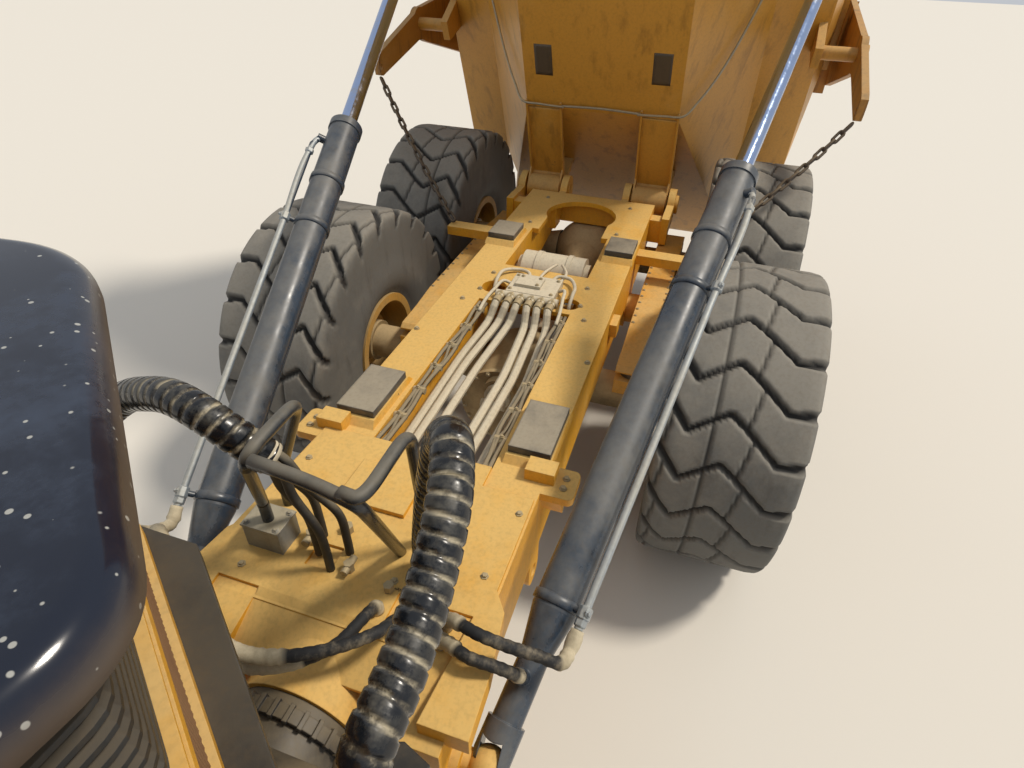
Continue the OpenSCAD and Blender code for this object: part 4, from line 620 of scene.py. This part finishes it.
hoist_runs = (
    ("left", "pipe", 1, ((0.02, 0.25), (0.75, 0.98)),
     [[3.184, 0.412, 1.4203], [3.184, 0.412, 1.45], [3.20, 0.44, 1.51], [3.247, 0.565, 1.56],
      [3.238, 0.666, 1.53], [3.215, 0.75, 1.49], [3.18, 0.83, 1.43]]),
    ("left", "neck", 1, ((0.02, 0.3),),
     [[3.248, 0.419, 1.4203], [3.248, 0.419, 1.445], [3.262, 0.45, 1.475], [3.305, 0.552, 1.51],
      [3.29, 0.63, 1.48]]),
    ("right", "neck", -1, ((0.30, 0.5), (0.62, 0.97)),
     [[3.235, 0.262, 1.4203], [3.235, 0.262, 1.46], [3.255, 0.262, 1.50], [3.333, 0.25, 1.55],
      [3.468, 0.10, 1.56], [3.55, -0.126, 1.57], [3.505, -0.339, 1.66], [3.438, -0.438, 1.71],
      [3.362, -0.528, 1.74], [3.30, -0.64, 1.65]]),
    ("right", "pipe", -1, ((0.2, 0.4), (0.6, 0.98)),
     [[3.21, 0.16, 1.4343], [3.21, 0.16, 1.46], [3.235, 0.16, 1.482], [3.40, 0.11, 1.49],
      [3.559, -0.134, 1.50], [3.538, -0.368, 1.60], [3.428, -0.528, 1.68], [3.33, -0.69, 1.64],
      [3.235, -0.82, 1.50], [3.18, -0.85, 1.43]]),
)
hose_radius = 0.021
for word, near, side, sleeves, route in hoist_runs:
    route = np.concatenate([np.array(route) - cad_shift, port(side, near)])
    made = hose(f"hoist_hose_{word}_{near}", route, hose_radius, sleeves)
    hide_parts("hoist_hoses")


# Hitch: a cast and machined head on a slewing tube, painted black, greasy and sandy.
hitch_black = weathered("greasy_black_enamel", "#23252A", sand="#8B7C60", sanded=0.34, streak="#111214",
                        gloss=0.3, edge="#565350", chips=0.2)
coat(hitch_black, "hitch")

# Main hose bundles: hoses laid together and wound with a broad black plastic spiral. The band is glossy
# and rides proud; sand has packed in the gap between its turns and shows as a pale thread.
spiral, tree, shader, at = new_finish("glossy_spiral_wrap")
band = add_node(tree, "ShaderNodeAttribute", attribute_name="band").outputs["Fac"]
cloud = patches(tree, at.outputs["Object"], 40, 5.0, 0.7)
up = add_node(tree, "ShaderNodeSeparateXYZ", {0: at.outputs["Normal"]}).outputs["Z"]
film = join(tree, ramp(tree, up, 0.2, 1.0), ramp(tree, cloud, 0.42, 0.7))
wrap = blend_colours(tree, join(tree, film, 0.4), "#14171C", "#7E7A6E")
packed = blend_colours(tree, ramp(tree, cloud, 0.4, 0.62), "#3E3A34", "#B5AA90")
tint(tree, shader, band, packed, wrap)
roughen(tree, shader, film, 0.22, 0.7)


def wound(route, radius, turns_mm=40, proud=0.006, share=0.86, step=0.005, sides=36):
    """A bundle wound with a band: the radius grows by proud wherever the helix phase, length over pitch
    plus angle over a full turn, is inside the band's share, with soft edges."""
    path = smooth_route(route, step)
    run = np.linspace(0, len(path) * step, len(path))
    turn = np.arange(sides) / sides
    phase = (run[:, None] / (turns_mm / 1000) + turn[None, :]) % 1.0
    inside = np.sqrt(np.clip(phase / 0.10, 0, 1) * np.clip((share - phase) / 0.10, 0, 1))
    return path, tube(path, radius + proud * inside, sides), inside


def swinging(name, grids, finish):
    """One length of hose, bundle or strap that bends between two bodies."""
    made = piece(name, grids, finish)
    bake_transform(made)
    return made


right_run = np.array([[3.94, 0.598, 1.93], [3.94, 0.598, 2.15], [3.88, 0.60, 2.225], [3.76, 0.605, 2.26],
                      [3.575, 0.595, 2.325], [3.40, 0.568, 2.42], [3.30, 0.528, 2.44], [3.21, 0.468, 2.36],
                      [3.14, 0.40, 2.16], [3.09, 0.34, 1.90], [3.05, 0.295, 1.64], [3.03, 0.285, 1.50],
                      [3.03, 0.285, 1.4343]]) - cad_shift
left_run = np.array([[3.72, -0.69, 1.91], [3.58, -0.82, 1.90], [3.40, -0.93, 1.89], [3.24, -0.91, 1.95],
                     [3.11, -0.80, 2.06], [3.13, -0.63, 2.15], [3.165, -0.46, 2.20], [3.185, -0.34, 2.18],
                     [3.178, -0.245, 2.11], [3.15, -0.19, 2.03]]) - cad_shift
bundle_ends = {}
for word, route, radius, cut in (("right", right_run, 0.047, 5), ("left", left_run, 0.052, 4)):
    path, grid, band = wound(route, radius)
    k = int(np.argmin(np.linalg.norm(path - route[cut], axis=1)))
    ends = [path[8], path[k], np.array([3.065, -0.145, 1.46]) - cad_shift if word == "left" else path[-8]]
    for part, rows, a, b, start, end in (("deck", slice(0, k + 1), "hitch", "tractor", ends[1], ends[0]),
                                         ("frame", slice(k, None), "rear_frame", "hitch", ends[2], ends[1])):
        made = swinging(f"{part}_bundle_{word}", [grid[rows]], spiral)
        mark(made, "band", band[rows])
        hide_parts("main_hoses")
    bundle_ends[word] = ends

# Where the left bundle's band ends, a steel strap closes it, and its four hoses go on to the cover alone.
strap_way = unit(left_run[-1] - left_run[-2])
strap = left_run[-1] + strap_way * np.array([-0.016, -0.014, 0.014, 0.016])[:, None]
strap_grid = tube(strap, np.array([0.048, 0.056, 0.056, 0.048]), 32)
swinging("bundle_strap", [strap_grid], pale_tube)
single_black = weathered("dusty_hose_rubber", "#25272A", sand="#9D927A", sanded=0.3, streak="#151618",
                         gloss=0.55, edge_mm=2)
singles, single_radius = [], 0.0165
for aside, ahead_by, foot_x, foot_y in ((0.022, 0.018, 3.11, -0.09), (-0.022, 0.016, 3.06, -0.17),
                                        (0.018, -0.020, 3.02, -0.06), (-0.02, -0.018, 2.98, -0.2)):
    start = left_run[-1] + [ahead_by, aside, 0]
    foot = np.array([foot_x, foot_y, 0]) - cad_shift
    drop = [start - strap_way * 0.03, start + strap_way * 0.03,
            (start * 0.6 + foot * 0.4) * [1, 1, 0] + [0, 0, 1.86],
            foot + [0.01, 0, 1.66], foot + [0, 0, 1.52], foot + [0, 0, 1.434]]
    singles.append(tube(smooth_route(drop, 0.015), single_radius, 12))
swinging("bundle_hoses", singles, single_black)

# A pale hose and a black one ride along the right bundle, outside its band.
for name, off, size, finish in (("pale_side_hose", (-0.055, -0.045, -0.012), 0.019, pale_tube),
                                ("black_side_hose", (-0.075, -0.01, -0.03), 0.015, single_black)):
    route = right_run[3:] + np.array(off) * np.linspace(0.6, 1.0, len(right_run) - 3)[:, None]
    route[0] = right_run[3] + [0.0, -0.03, -0.03]
    side_path = smooth_route(route, 0.012)
    cut_at = int(np.argmin(np.linalg.norm(side_path - right_run[5], axis=1)))
    grid = tube(side_path, size, 14)
    deck_end, joint, foot = bundle_ends["right"]
    swinging(f"{name}_deck", [grid[:cut_at + 1]], finish)
    swinging(f"{name}_frame", [grid[cut_at:]], finish)


# Fasteners and clips on the rear frame: plated bolts along the beams and covers, and on the bell's ring.
plated = weathered("plated_fastener", "#A59A80", sand="#CBB891", sanded=0.4, streak="#6C5D43", gloss=0.4,
                   metal=0.5, edge="#D8D0BC", edge_mm=1.5)
heads = []
beam_y, beam_top, row_off, row_pitch = 0.74, 1.2005, 0.083, 0.095
for side in (1, -1):
    for off in (-row_off, row_off):
        heads += bolts([[x, side * (beam_y + off), beam_top] for x in np.arange(-0.57, 0.58, row_pitch)],
                       (0, 0, 1), 0.008, 0.007)
    rail_spots = ((2.35, 0.633), (2.41, 0.633), (0.62, 0.33), (0.86, 0.34),
                  (-0.86, 0.36), (-0.30, 0.35), (1.02, 0.40), (1.45, 0.52))
    heads += bolts([[x, side * y, 1.4205] for x, y in rail_spots], (0, 0, 1), 0.012, 0.012)
heads += bolts([[3.20, -0.42, 1.4345], [2.95, -0.48, 1.4345], [2.62, -0.50, 1.4345], [2.62, 0.50, 1.4345],
                [2.95, 0.47, 1.4345], [3.08, 0.16, 1.4345], [2.74, 0.12, 1.4345], [2.74, -0.10, 1.4345]],
               (0, 0, 1), 0.011, 0.011)
heads += bolts([[0.68, -0.13, 1.4685], [0.68, 0.145, 1.4685], [0.87, -0.13, 1.4685], [0.87, 0.145, 1.4685],
                [0.72, -0.085, 1.4885], [0.81, 0.035, 1.4885], [0.72, 0.035, 1.4885]],
               (0, 0, 1), 0.009, 0.009)
bell_front, bell_radius = 1.4075, 0.25
heads += bolts([[bell_front, bell_radius * math.sin(a), axle_height + bell_radius * math.cos(a)]
                for a in circle(18)], (1, 0, 0), 0.012, 0.012)
heads = [grid - cad_shift for grid in heads]
piece("frame_bolts", heads, plated, "rear_frame", False)

# Port fittings: hex swivel nuts where the six hoses leave the manifold.
nuts = []
for y in (-0.17, -0.10, -0.035, 0.035, 0.10, 0.17):
    for a, b, r in ((0.9225, 0.948, 0.0315), (0.948, 0.972, 0.029), (0.975, 1.03, 0.0268)):
        nuts.append(straight([a, y, 1.446], [b, y, 1.446], r, 6 if r > 0.028 else 16) - cad_shift)
piece("manifold_nuts", nuts, plated, "rear_frame", False)

# Cable runs: three black lines clipped in a row along each rail's inner edge, with rubber-lined clips.
line_black = weathered("dusty_line_rubber", "#2A2A2A", sand="#A8987A", sanded=0.42, streak="#1A1A1A",
                       gloss=0.6, edge_mm=2)
runs, clips = [], []
for side in (1, -1):
    for k, (y, z, r) in enumerate(((0.283, 1.404, 0.0115), (0.262, 1.396, 0.009), (0.244, 1.400, 0.012))):
        along = np.arange(1.0, 2.41, 0.05)
        wave = 0.006 * np.sin(along * 9 + k * 2.1 + side) - 0.004 * np.cos(along * 14 + k)
        route = np.stack([along, side * (y + wave), z + 0.012 * np.cos(along * 28.6) * (k == 1)], axis=1)
        runs.append(tube(smooth_route(route, 0.02), r, 8) - cad_shift)
    for x in np.arange(1.08, 2.38, 0.22):
        clips.append(straight([x, side * 0.232, 1.398], [x, side * 0.2995, 1.398], 0.019, 6) - cad_shift)
        clips += [g - cad_shift for g in bolts([[x, side * 0.2725, 1.4165]], (0, 0, 1), 0.008, 0.010)]
piece("rail_lines", runs, line_black, "rear_frame")
piece("rail_clips", clips, plated, "rear_frame", False)

# Short lines about the manifold: they loop from its block to the round holes and down over the tank.
loops = []
for route, r in (([[0.66, -0.06, 1.44], [0.60, -0.08, 1.45], [0.55, -0.16, 1.44], [0.62, -0.25, 1.455],
                   [0.74, -0.262, 1.45], [0.80, -0.262, 1.40], [0.80, -0.262, 1.30]], 0.012),
                 ([[0.66, 0.09, 1.44], [0.60, 0.12, 1.46], [0.60, 0.20, 1.46], [0.70, 0.262, 1.455],
                   [0.80, 0.27, 1.45], [0.858, 0.266, 1.40], [0.858, 0.266, 1.30]], 0.012),
                 ([[0.66, 0.0, 1.44], [0.58, 0.01, 1.45], [0.46, 0.03, 1.44], [0.36, 0.05, 1.425]], 0.010),
                 ([[0.66, 0.14, 1.435], [0.54, 0.16, 1.45], [0.42, 0.12, 1.435], [0.36, 0.09, 1.425]], 0.010),
                 ([[0.76, 0.172, 1.44], [0.77, 0.20, 1.46], [0.90, 0.23, 1.46], [1.02, 0.245, 1.44],
                   [1.12, 0.25, 1.415]], 0.011),
                 ([[0.76, -0.152, 1.44], [0.77, -0.19, 1.46], [0.90, -0.225, 1.46], [1.02, -0.245, 1.44],
                   [1.12, -0.25, 1.415]], 0.011)):
    loops.append(tube(smooth_route(np.array(route) - cad_shift, 0.015), r, 10))
piece("manifold_lines", loops, pale_tube, "rear_frame")


# Junction block under the guard's left front foot: a grey machined box with a bolted lid.
def prism(loop, low, high):
    """The walls of an upright block over a level outline, from low to high."""
    return np.stack([np.c_[loop, np.full(len(loop), z)] for z in (low, high)])


block_grey = weathered("machined_block_grey", "#8A8C8A", sand="#C2B493", sanded=0.3, streak="#5D5B54",
                       gloss=0.4, metal=0.3, edge="#C9CACA", edge_mm=3)
walls = np.array([[2.996, -0.454], [3.114, -0.454], [3.114, -0.296], [2.996, -0.296]])
lid_walls, lid_top = walls + np.sign(walls - walls.mean(axis=0)) * 0.004, 1.557
grids = [prism(walls, 1.4205, 1.5535), prism(lid_walls, 1.549, lid_top)]
grids += bolts([[x, y, lid_top] for x in (3.01, 3.10) for y in (-0.44, -0.31)], (0, 0, 1), 0.009, 0.009)
piece("junction_block", [grid - cad_shift for grid in grids], block_grey, "rear_frame", False)
# Fittings on the frame's cover, where the hoses go through it: hex stubs, two of them with a cross piece.
tees = []
for a, b, r in (([3.02, -0.22, 1.434], [3.02, -0.22, 1.50], 0.022),
                ([3.0, -0.22, 1.478], [3.07, -0.22, 1.478], 0.017),
                ([3.09, -0.02, 1.434], [3.09, -0.02, 1.48], 0.020),
                ([3.05, -0.02, 1.462], [3.13, -0.02, 1.462], 0.015),
                ([2.93, -0.12, 1.434], [2.93, -0.12, 1.47], 0.024),
                ([3.12, 0.16, 1.434], [3.12, 0.16, 1.468], 0.02)):
    tees.append(straight(np.array(a), np.array(b), r, 6 if r > 0.018 else 14) - cad_shift)
piece("cover_fittings", tees, plated, "rear_frame", False)


# Hose guard: three bent round tubes, welded where they meet, enamelled black and dusty.
def bend(start, corner, end, u):
    """Points of a quadratic bend from start to end, drawn towards the corner."""
    return (1 - u) ** 2 * start + 2 * u * (1 - u) * corner + u ** 2 * end


def bent(corners, reach):
    """A route along straight lines, whose inner corners become bends that start at the given reach."""
    corners = np.asarray(corners, dtype=float)
    u = np.linspace(0, 1, 12)[:, None]
    points = [corners[:1]]
    for before, corner, after in zip(corners, corners[1:], corners[2:]):
        back, ahead = before - corner, after - corner
        back_long, ahead_long = np.linalg.norm(back), np.linalg.norm(ahead)
        start = corner + back / back_long * min(reach, back_long * 0.45)
        end = corner + ahead / ahead_long * min(reach, ahead_long * 0.45)
        points.append(bend(start, corner, end, u))
    return np.concatenate(points + [corners[-1:]])


guard_runs = ([[3.06, -0.37, 1.41], [3.06, -0.37, 1.64], [3.278, -0.15, 2.15], [2.99, -0.155, 2.15],
               [2.88, -0.43, 1.60], [2.88, -0.43, 1.41]],
              [[2.94, 0.12, 1.41], [3.30, 0.235, 2.12], [3.29, 0.06, 2.15], [3.278, -0.12, 2.15]],
              [[3.296, 0.18, 2.144], [3.30, 0.25, 2.14], [3.004, 0.25, 2.15], [2.86, 0.20, 1.41]])
bend_reach, guard_radius = 0.09, 0.0218
grids = [tube(bent(run, bend_reach) - cad_shift, guard_radius, 18) for run in guard_runs]
made = piece("hose_guard_tubes", grids, tube_black, "rear_frame")
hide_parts("hose_guard")


# Tractor frame, fenders and deck: welded plate. The frame is golden, the decks and rails are painted
# black and sandy where people walk.
coat(beam_enamel, "front_frame")
deck_black = weathered("sandy_black_enamel", "#1B1D20", sand="#5E5545", sanded=0.1, streak="#131518",
                       gloss=0.4, edge="#5C5F62")
coat(deck_black, "fenders", "front_grille")
engine_iron = weathered("cast_engine_iron", "#4B4A46", sand="#8D8169", sanded=0.3, streak="#2B2A27",
                        gloss=0.6, lift_mm=0.8)
coat(engine_iron, "engine")

# Cooling housing: golden plate posts and black louvres, under a moulded black cap with a deep round edge.
# The cap is glossy, spotted by dusty rain, and brown with sand along its lower rim.
cap_top = 2.9
cap_paint, tree, shader, at = new_finish("spotted_glossy_cap")
place = at.outputs["Object"]
height = add_node(tree, "ShaderNodeSeparateXYZ", {0: place}).outputs["Z"]
# Rain spots are 4 to 10 mm across and lie in cells of 20 mm or so, most of them empty.
drops = add_node(tree, "ShaderNodeTexVoronoi", {"Vector": place, "Scale": 52.0}, feature="F1")
chance = add_node(tree, "ShaderNodeSeparateColor", {0: drops.outputs["Color"]}).outputs[0]
size = join(tree, ramp(tree, chance, 0.35, 1.0), 0.26)
spots = ramp(tree, join(tree, size, drops.outputs["Distance"], "SUBTRACT"), 0.0, 0.07)
cloud = patches(tree, place, 160, 6.0, 0.7)
fine = patches(tree, place, 12, 3.0)
haze = ramp(tree, join(tree, cloud, join(tree, fine, 0.2), "ADD"), 0.55, 0.9)
base = blend_colours(tree, join(tree, haze, 0.3), "#141B2B", "#5C6B84")
spotted = blend_colours(tree, join(tree, spots, 0.75), base, "#B9BAB4")
below_top = join(tree, cap_top, height, "SUBTRACT")
low = ramp(tree, join(tree, below_top, join(tree, cloud, 0.05), "ADD"), 0.035, 0.10)
tint(tree, shader, join(tree, low, 0.6), spotted, "#6A5740")
roughen(tree, shader, join(tree, haze, low, "MAXIMUM"), 0.14, 0.6)


def rounded_loop(corners, reaches, steps=10):
    """A closed outline whose corners become quadratic arcs that start at the given reach from each corner."""
    corners = np.asarray(corners, dtype=float)
    back = np.roll(corners, 1, axis=0) - corners
    ahead = np.roll(corners, -1, axis=0) - corners
    back_long = np.linalg.norm(back, axis=1)[:, None]
    ahead_long = np.linalg.norm(ahead, axis=1)[:, None]
    reach = np.minimum(np.asarray(reaches, dtype=float)[:, None], np.minimum(back_long, ahead_long) * 0.49)
    start, end = corners + back / back_long * reach, corners + ahead / ahead_long * reach
    u = np.linspace(0, 1, steps)[None, :, None]
    return bend(start[:, None], corners[:, None], end[:, None], u).reshape(-1, 2)


def lifted(rings, levels):
    """Flat rings of points set at their levels, one level per ring."""
    up = np.broadcast_to(np.asarray(levels)[:, None, None], rings.shape[:2] + (1,))
    return np.concatenate([rings, up], axis=2) - cad_shift


def even_loop(loop, count):
    """The same closed outline with its points set evenly along it."""
    closed = np.concatenate([loop, loop[:1]])
    return points_at(closed, np.arange(count) / count * lengths(closed)[-1])


cap_corners = np.array([[3.465, -0.44], [3.85, -0.77], [4.25, -1.15], [4.63, -1.23], [4.63, 0.43],
                        [4.05, 0.53], [3.445, -0.17]])
cap_reach = [0.10, 0.06, 0.15, 0.06, 0.06, 0.10, 0.14]
outline = even_loop(rounded_loop(cap_corners, cap_reach), 260)
spine_a, spine_b = np.array([3.82, -0.42]), np.array([4.38, -0.40])
spine = spine_b - spine_a
share = np.clip(((outline - spine_a) @ spine) / (spine @ spine), 0, 1)
inward = unit(spine_a + share[:, None] * spine - outline)
# From the lower rim, turned under, up the side, over the round edge and in to the flat crown.
turn, side_top, edge_in, edge_up = np.linspace(0, np.pi / 2, 14), 2.843, 0.055, 0.053
inset = np.concatenate([[0.06, 0.02, 0.008, 0.0, 0.0], edge_in * (1 - np.cos(turn[1:])), [0.10, 0.2]])
rise = np.concatenate([[2.822, 2.815, 2.815, 2.823, side_top], side_top + edge_up * np.sin(turn[1:]),
                       [2.8985, cap_top]])
rings = outline[None] + inward[None] * inset[:, None, None]
cap = piece("cooling_cap", [lifted(rings, rise)], cap_paint, "tractor")
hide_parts("cooling_housing")

# The housing's body under the cap: black louvre blades, and below them a rusty guard screen. Golden rails
# folded from plate edge the screen on the faces towards the hitch.
body_corners = np.array([[3.54, -0.42], [3.87, -0.72], [4.25, -1.09], [4.59, -1.16], [4.59, 0.41],
                         [4.08, 0.455], [3.52, -0.34]])
body_base, rail_at, body_top = 2.0115, 2.385, 2.83


def body_bands(count, levels, lean):
    """Rings of the housing's body outline at the given levels, each moved in towards its middle by lean."""
    core = even_loop(rounded_loop(body_corners, [0.03] * 7), count)
    toward = unit(core.mean(axis=0) - core)
    return lifted(core[None] + toward[None] * np.asarray(lean)[:, None, None], levels)


blade_count, blade_lean, blade_inset = 14, 0.024, 0.01
louvre_black = weathered("sandy_louvre_black", "#17181A", sand="#5E5340", sanded=0.2, streak="#0E0E0F",
                         gloss=0.45, edge_mm=2)
levels = np.linspace(rail_at, body_top, blade_count * 3)
grid = body_bands(220, levels, np.tile([0.0, 0.0, blade_lean], blade_count) + blade_inset)
blades = piece("housing_louvres", [grid], louvre_black, "tractor", False)
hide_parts("cooling_housing")
screen_rust = weathered("rusty_guard_screen", "#5E3A22", sand="#8A6A45", sanded=0.15, streak="#3A2416",
                        gloss=0.6, edge_mm=2)
wires, uprights, mesh_deep = 44, 210, 0.003
levels = np.linspace(body_base, rail_at + 0.01, wires * 2)
around = np.where(np.arange(uprights * 2) % 2, mesh_deep, 0.0)
grid = body_bands(uprights * 2, levels, np.tile([0.010, 0.014], wires))
grid += unit(grid.mean(axis=1, keepdims=True) - grid) * around[:, None]
screen = piece("housing_screen", [grid], screen_rust, "tractor", False)
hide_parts("cooling_housing")
strips, rail_deep = [], 0.02
for first, last in ((6, 5), (0, 6), (1, 0), (2, 1)):
    start, end = body_corners[first], body_corners[last]
    way = unit(end - start)
    outward = np.array([-way[1], way[0]])
    outward *= np.sign(outward @ ((start + end) / 2 - body_corners.mean(axis=0)))
    for low, high, proud in ((body_base, 2.056, 0.008), (rail_at, 2.425, 0.014), (2.452, 2.462, 0.012)):
        flat = np.array([start + outward * proud, start - outward * rail_deep,
                         end - outward * rail_deep, end + outward * proud])
        turned = np.cross(flat[1] - flat[0], flat[2] - flat[1])
        strips.append(prism(flat if turned > 0 else flat[::-1], low, high) - cad_shift)
strip_enamel = weathered("strip_enamel", "#DDA02A", sanded=0.3, edge="#E7B04A", edge_mm=3)
rails = piece("housing_strips", strips, strip_enamel, "tractor", False)
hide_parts("cooling_housing")

# Cab and hood: pressed and welded sheet, sprayed golden. Less sand lies on them than on the frame.
cab_enamel = weathered("cab_enamel", "#DC9E2B", sanded=0.26, streaks=0.2, gloss=0.3, edge="#E9B24C",
                       edge_mm=10, lift_mm=0.12)
coat(cab_enamel, "cab_shell", "cab_door", "hood")
trim = weathered("moulded_cab_trim", "#2B2C2F", sand="#8F8570", sanded=0.15, streak="#1C1D1F", gloss=0.55,
                 edge_mm=12)
coat(trim, "cab_interior")
# Glazing: toughened sheet with a faint green-grey tint and a film of sand.
glazing, tree, shader, at = new_finish("tinted_toughened_glass")
film = ramp(tree, patches(tree, at.outputs["Object"], 300, 6.0, 0.7), 0.35, 0.8)
tint(tree, shader, film, "#B7C6C4", "#C9BFA8")
shader.inputs["Transmission Weight"].default_value = 0.85
shader.inputs["IOR"].default_value = 1.45
roughen(tree, shader, film, 0.03, 0.22)
coat(glazing, "cab_glass", "door_glass")


# Lamp lenses: pressed clear glass, domed, on the bumper and under the roof.
lens, tree, shader, at = new_finish("domed_lens_glass")
film = patches(tree, at.outputs["Object"], 20, 4.0)
tint(tree, shader, film, "#DDE3E6", "#B5B1A4")
shader.inputs["Metallic"].default_value = 0.35
shader.inputs["Coat Weight"].default_value = 1.0
roughen(tree, shader, film, 0.05, 0.3)
domes, dome_rise = [], 0.010
turn = np.linspace(0, np.pi / 2, 7)
lamps = [(8.7305, side * out, 0.935, 0.046) for side in (1, -1) for out in (0.605, 0.775)]
lamps += [(6.0955, side * 0.61, 3.62, 0.041) for side in (1, -1)]
for x, y, z, size in lamps:
    dome = tube(np.array([x, y, z]) + turn[:, None] * [1, 0, 0], size * np.maximum(np.cos(turn), 0.02), 24)
    dome[..., 0] = x + dome_rise * np.sin(turn)[:, None]
    domes.append(dome - cad_shift)
piece("lamp_lenses", domes, lens, "tractor")

# Mirror glass: flat panes, silvered on the back, on the rear faces of the two mirror heads.
silver, tree, shader, at = new_finish("silvered_mirror")
film = ramp(tree, patches(tree, at.outputs["Object"], 60, 5.0), 0.4, 0.8)
tint(tree, shader, film, "#D6DCE0", "#B9B2A2")
shader.inputs["Metallic"].default_value = 1.0
shader.inputs["Roughness"].default_value = 0.06
panes, pane_x = [], 6.4505
pane_corners = ((1.575, 3.415), (1.725, 3.415), (1.725, 3.085), (1.575, 3.085))
for side in (1, -1):
    corners = np.array([[pane_x, side * out, z] for out, z in pane_corners])[::side]
    panes.append(np.stack([corners, corners - [0.003, 0, 0]]) - cad_shift)
piece("mirror_glass", panes, silver, "tractor", False)
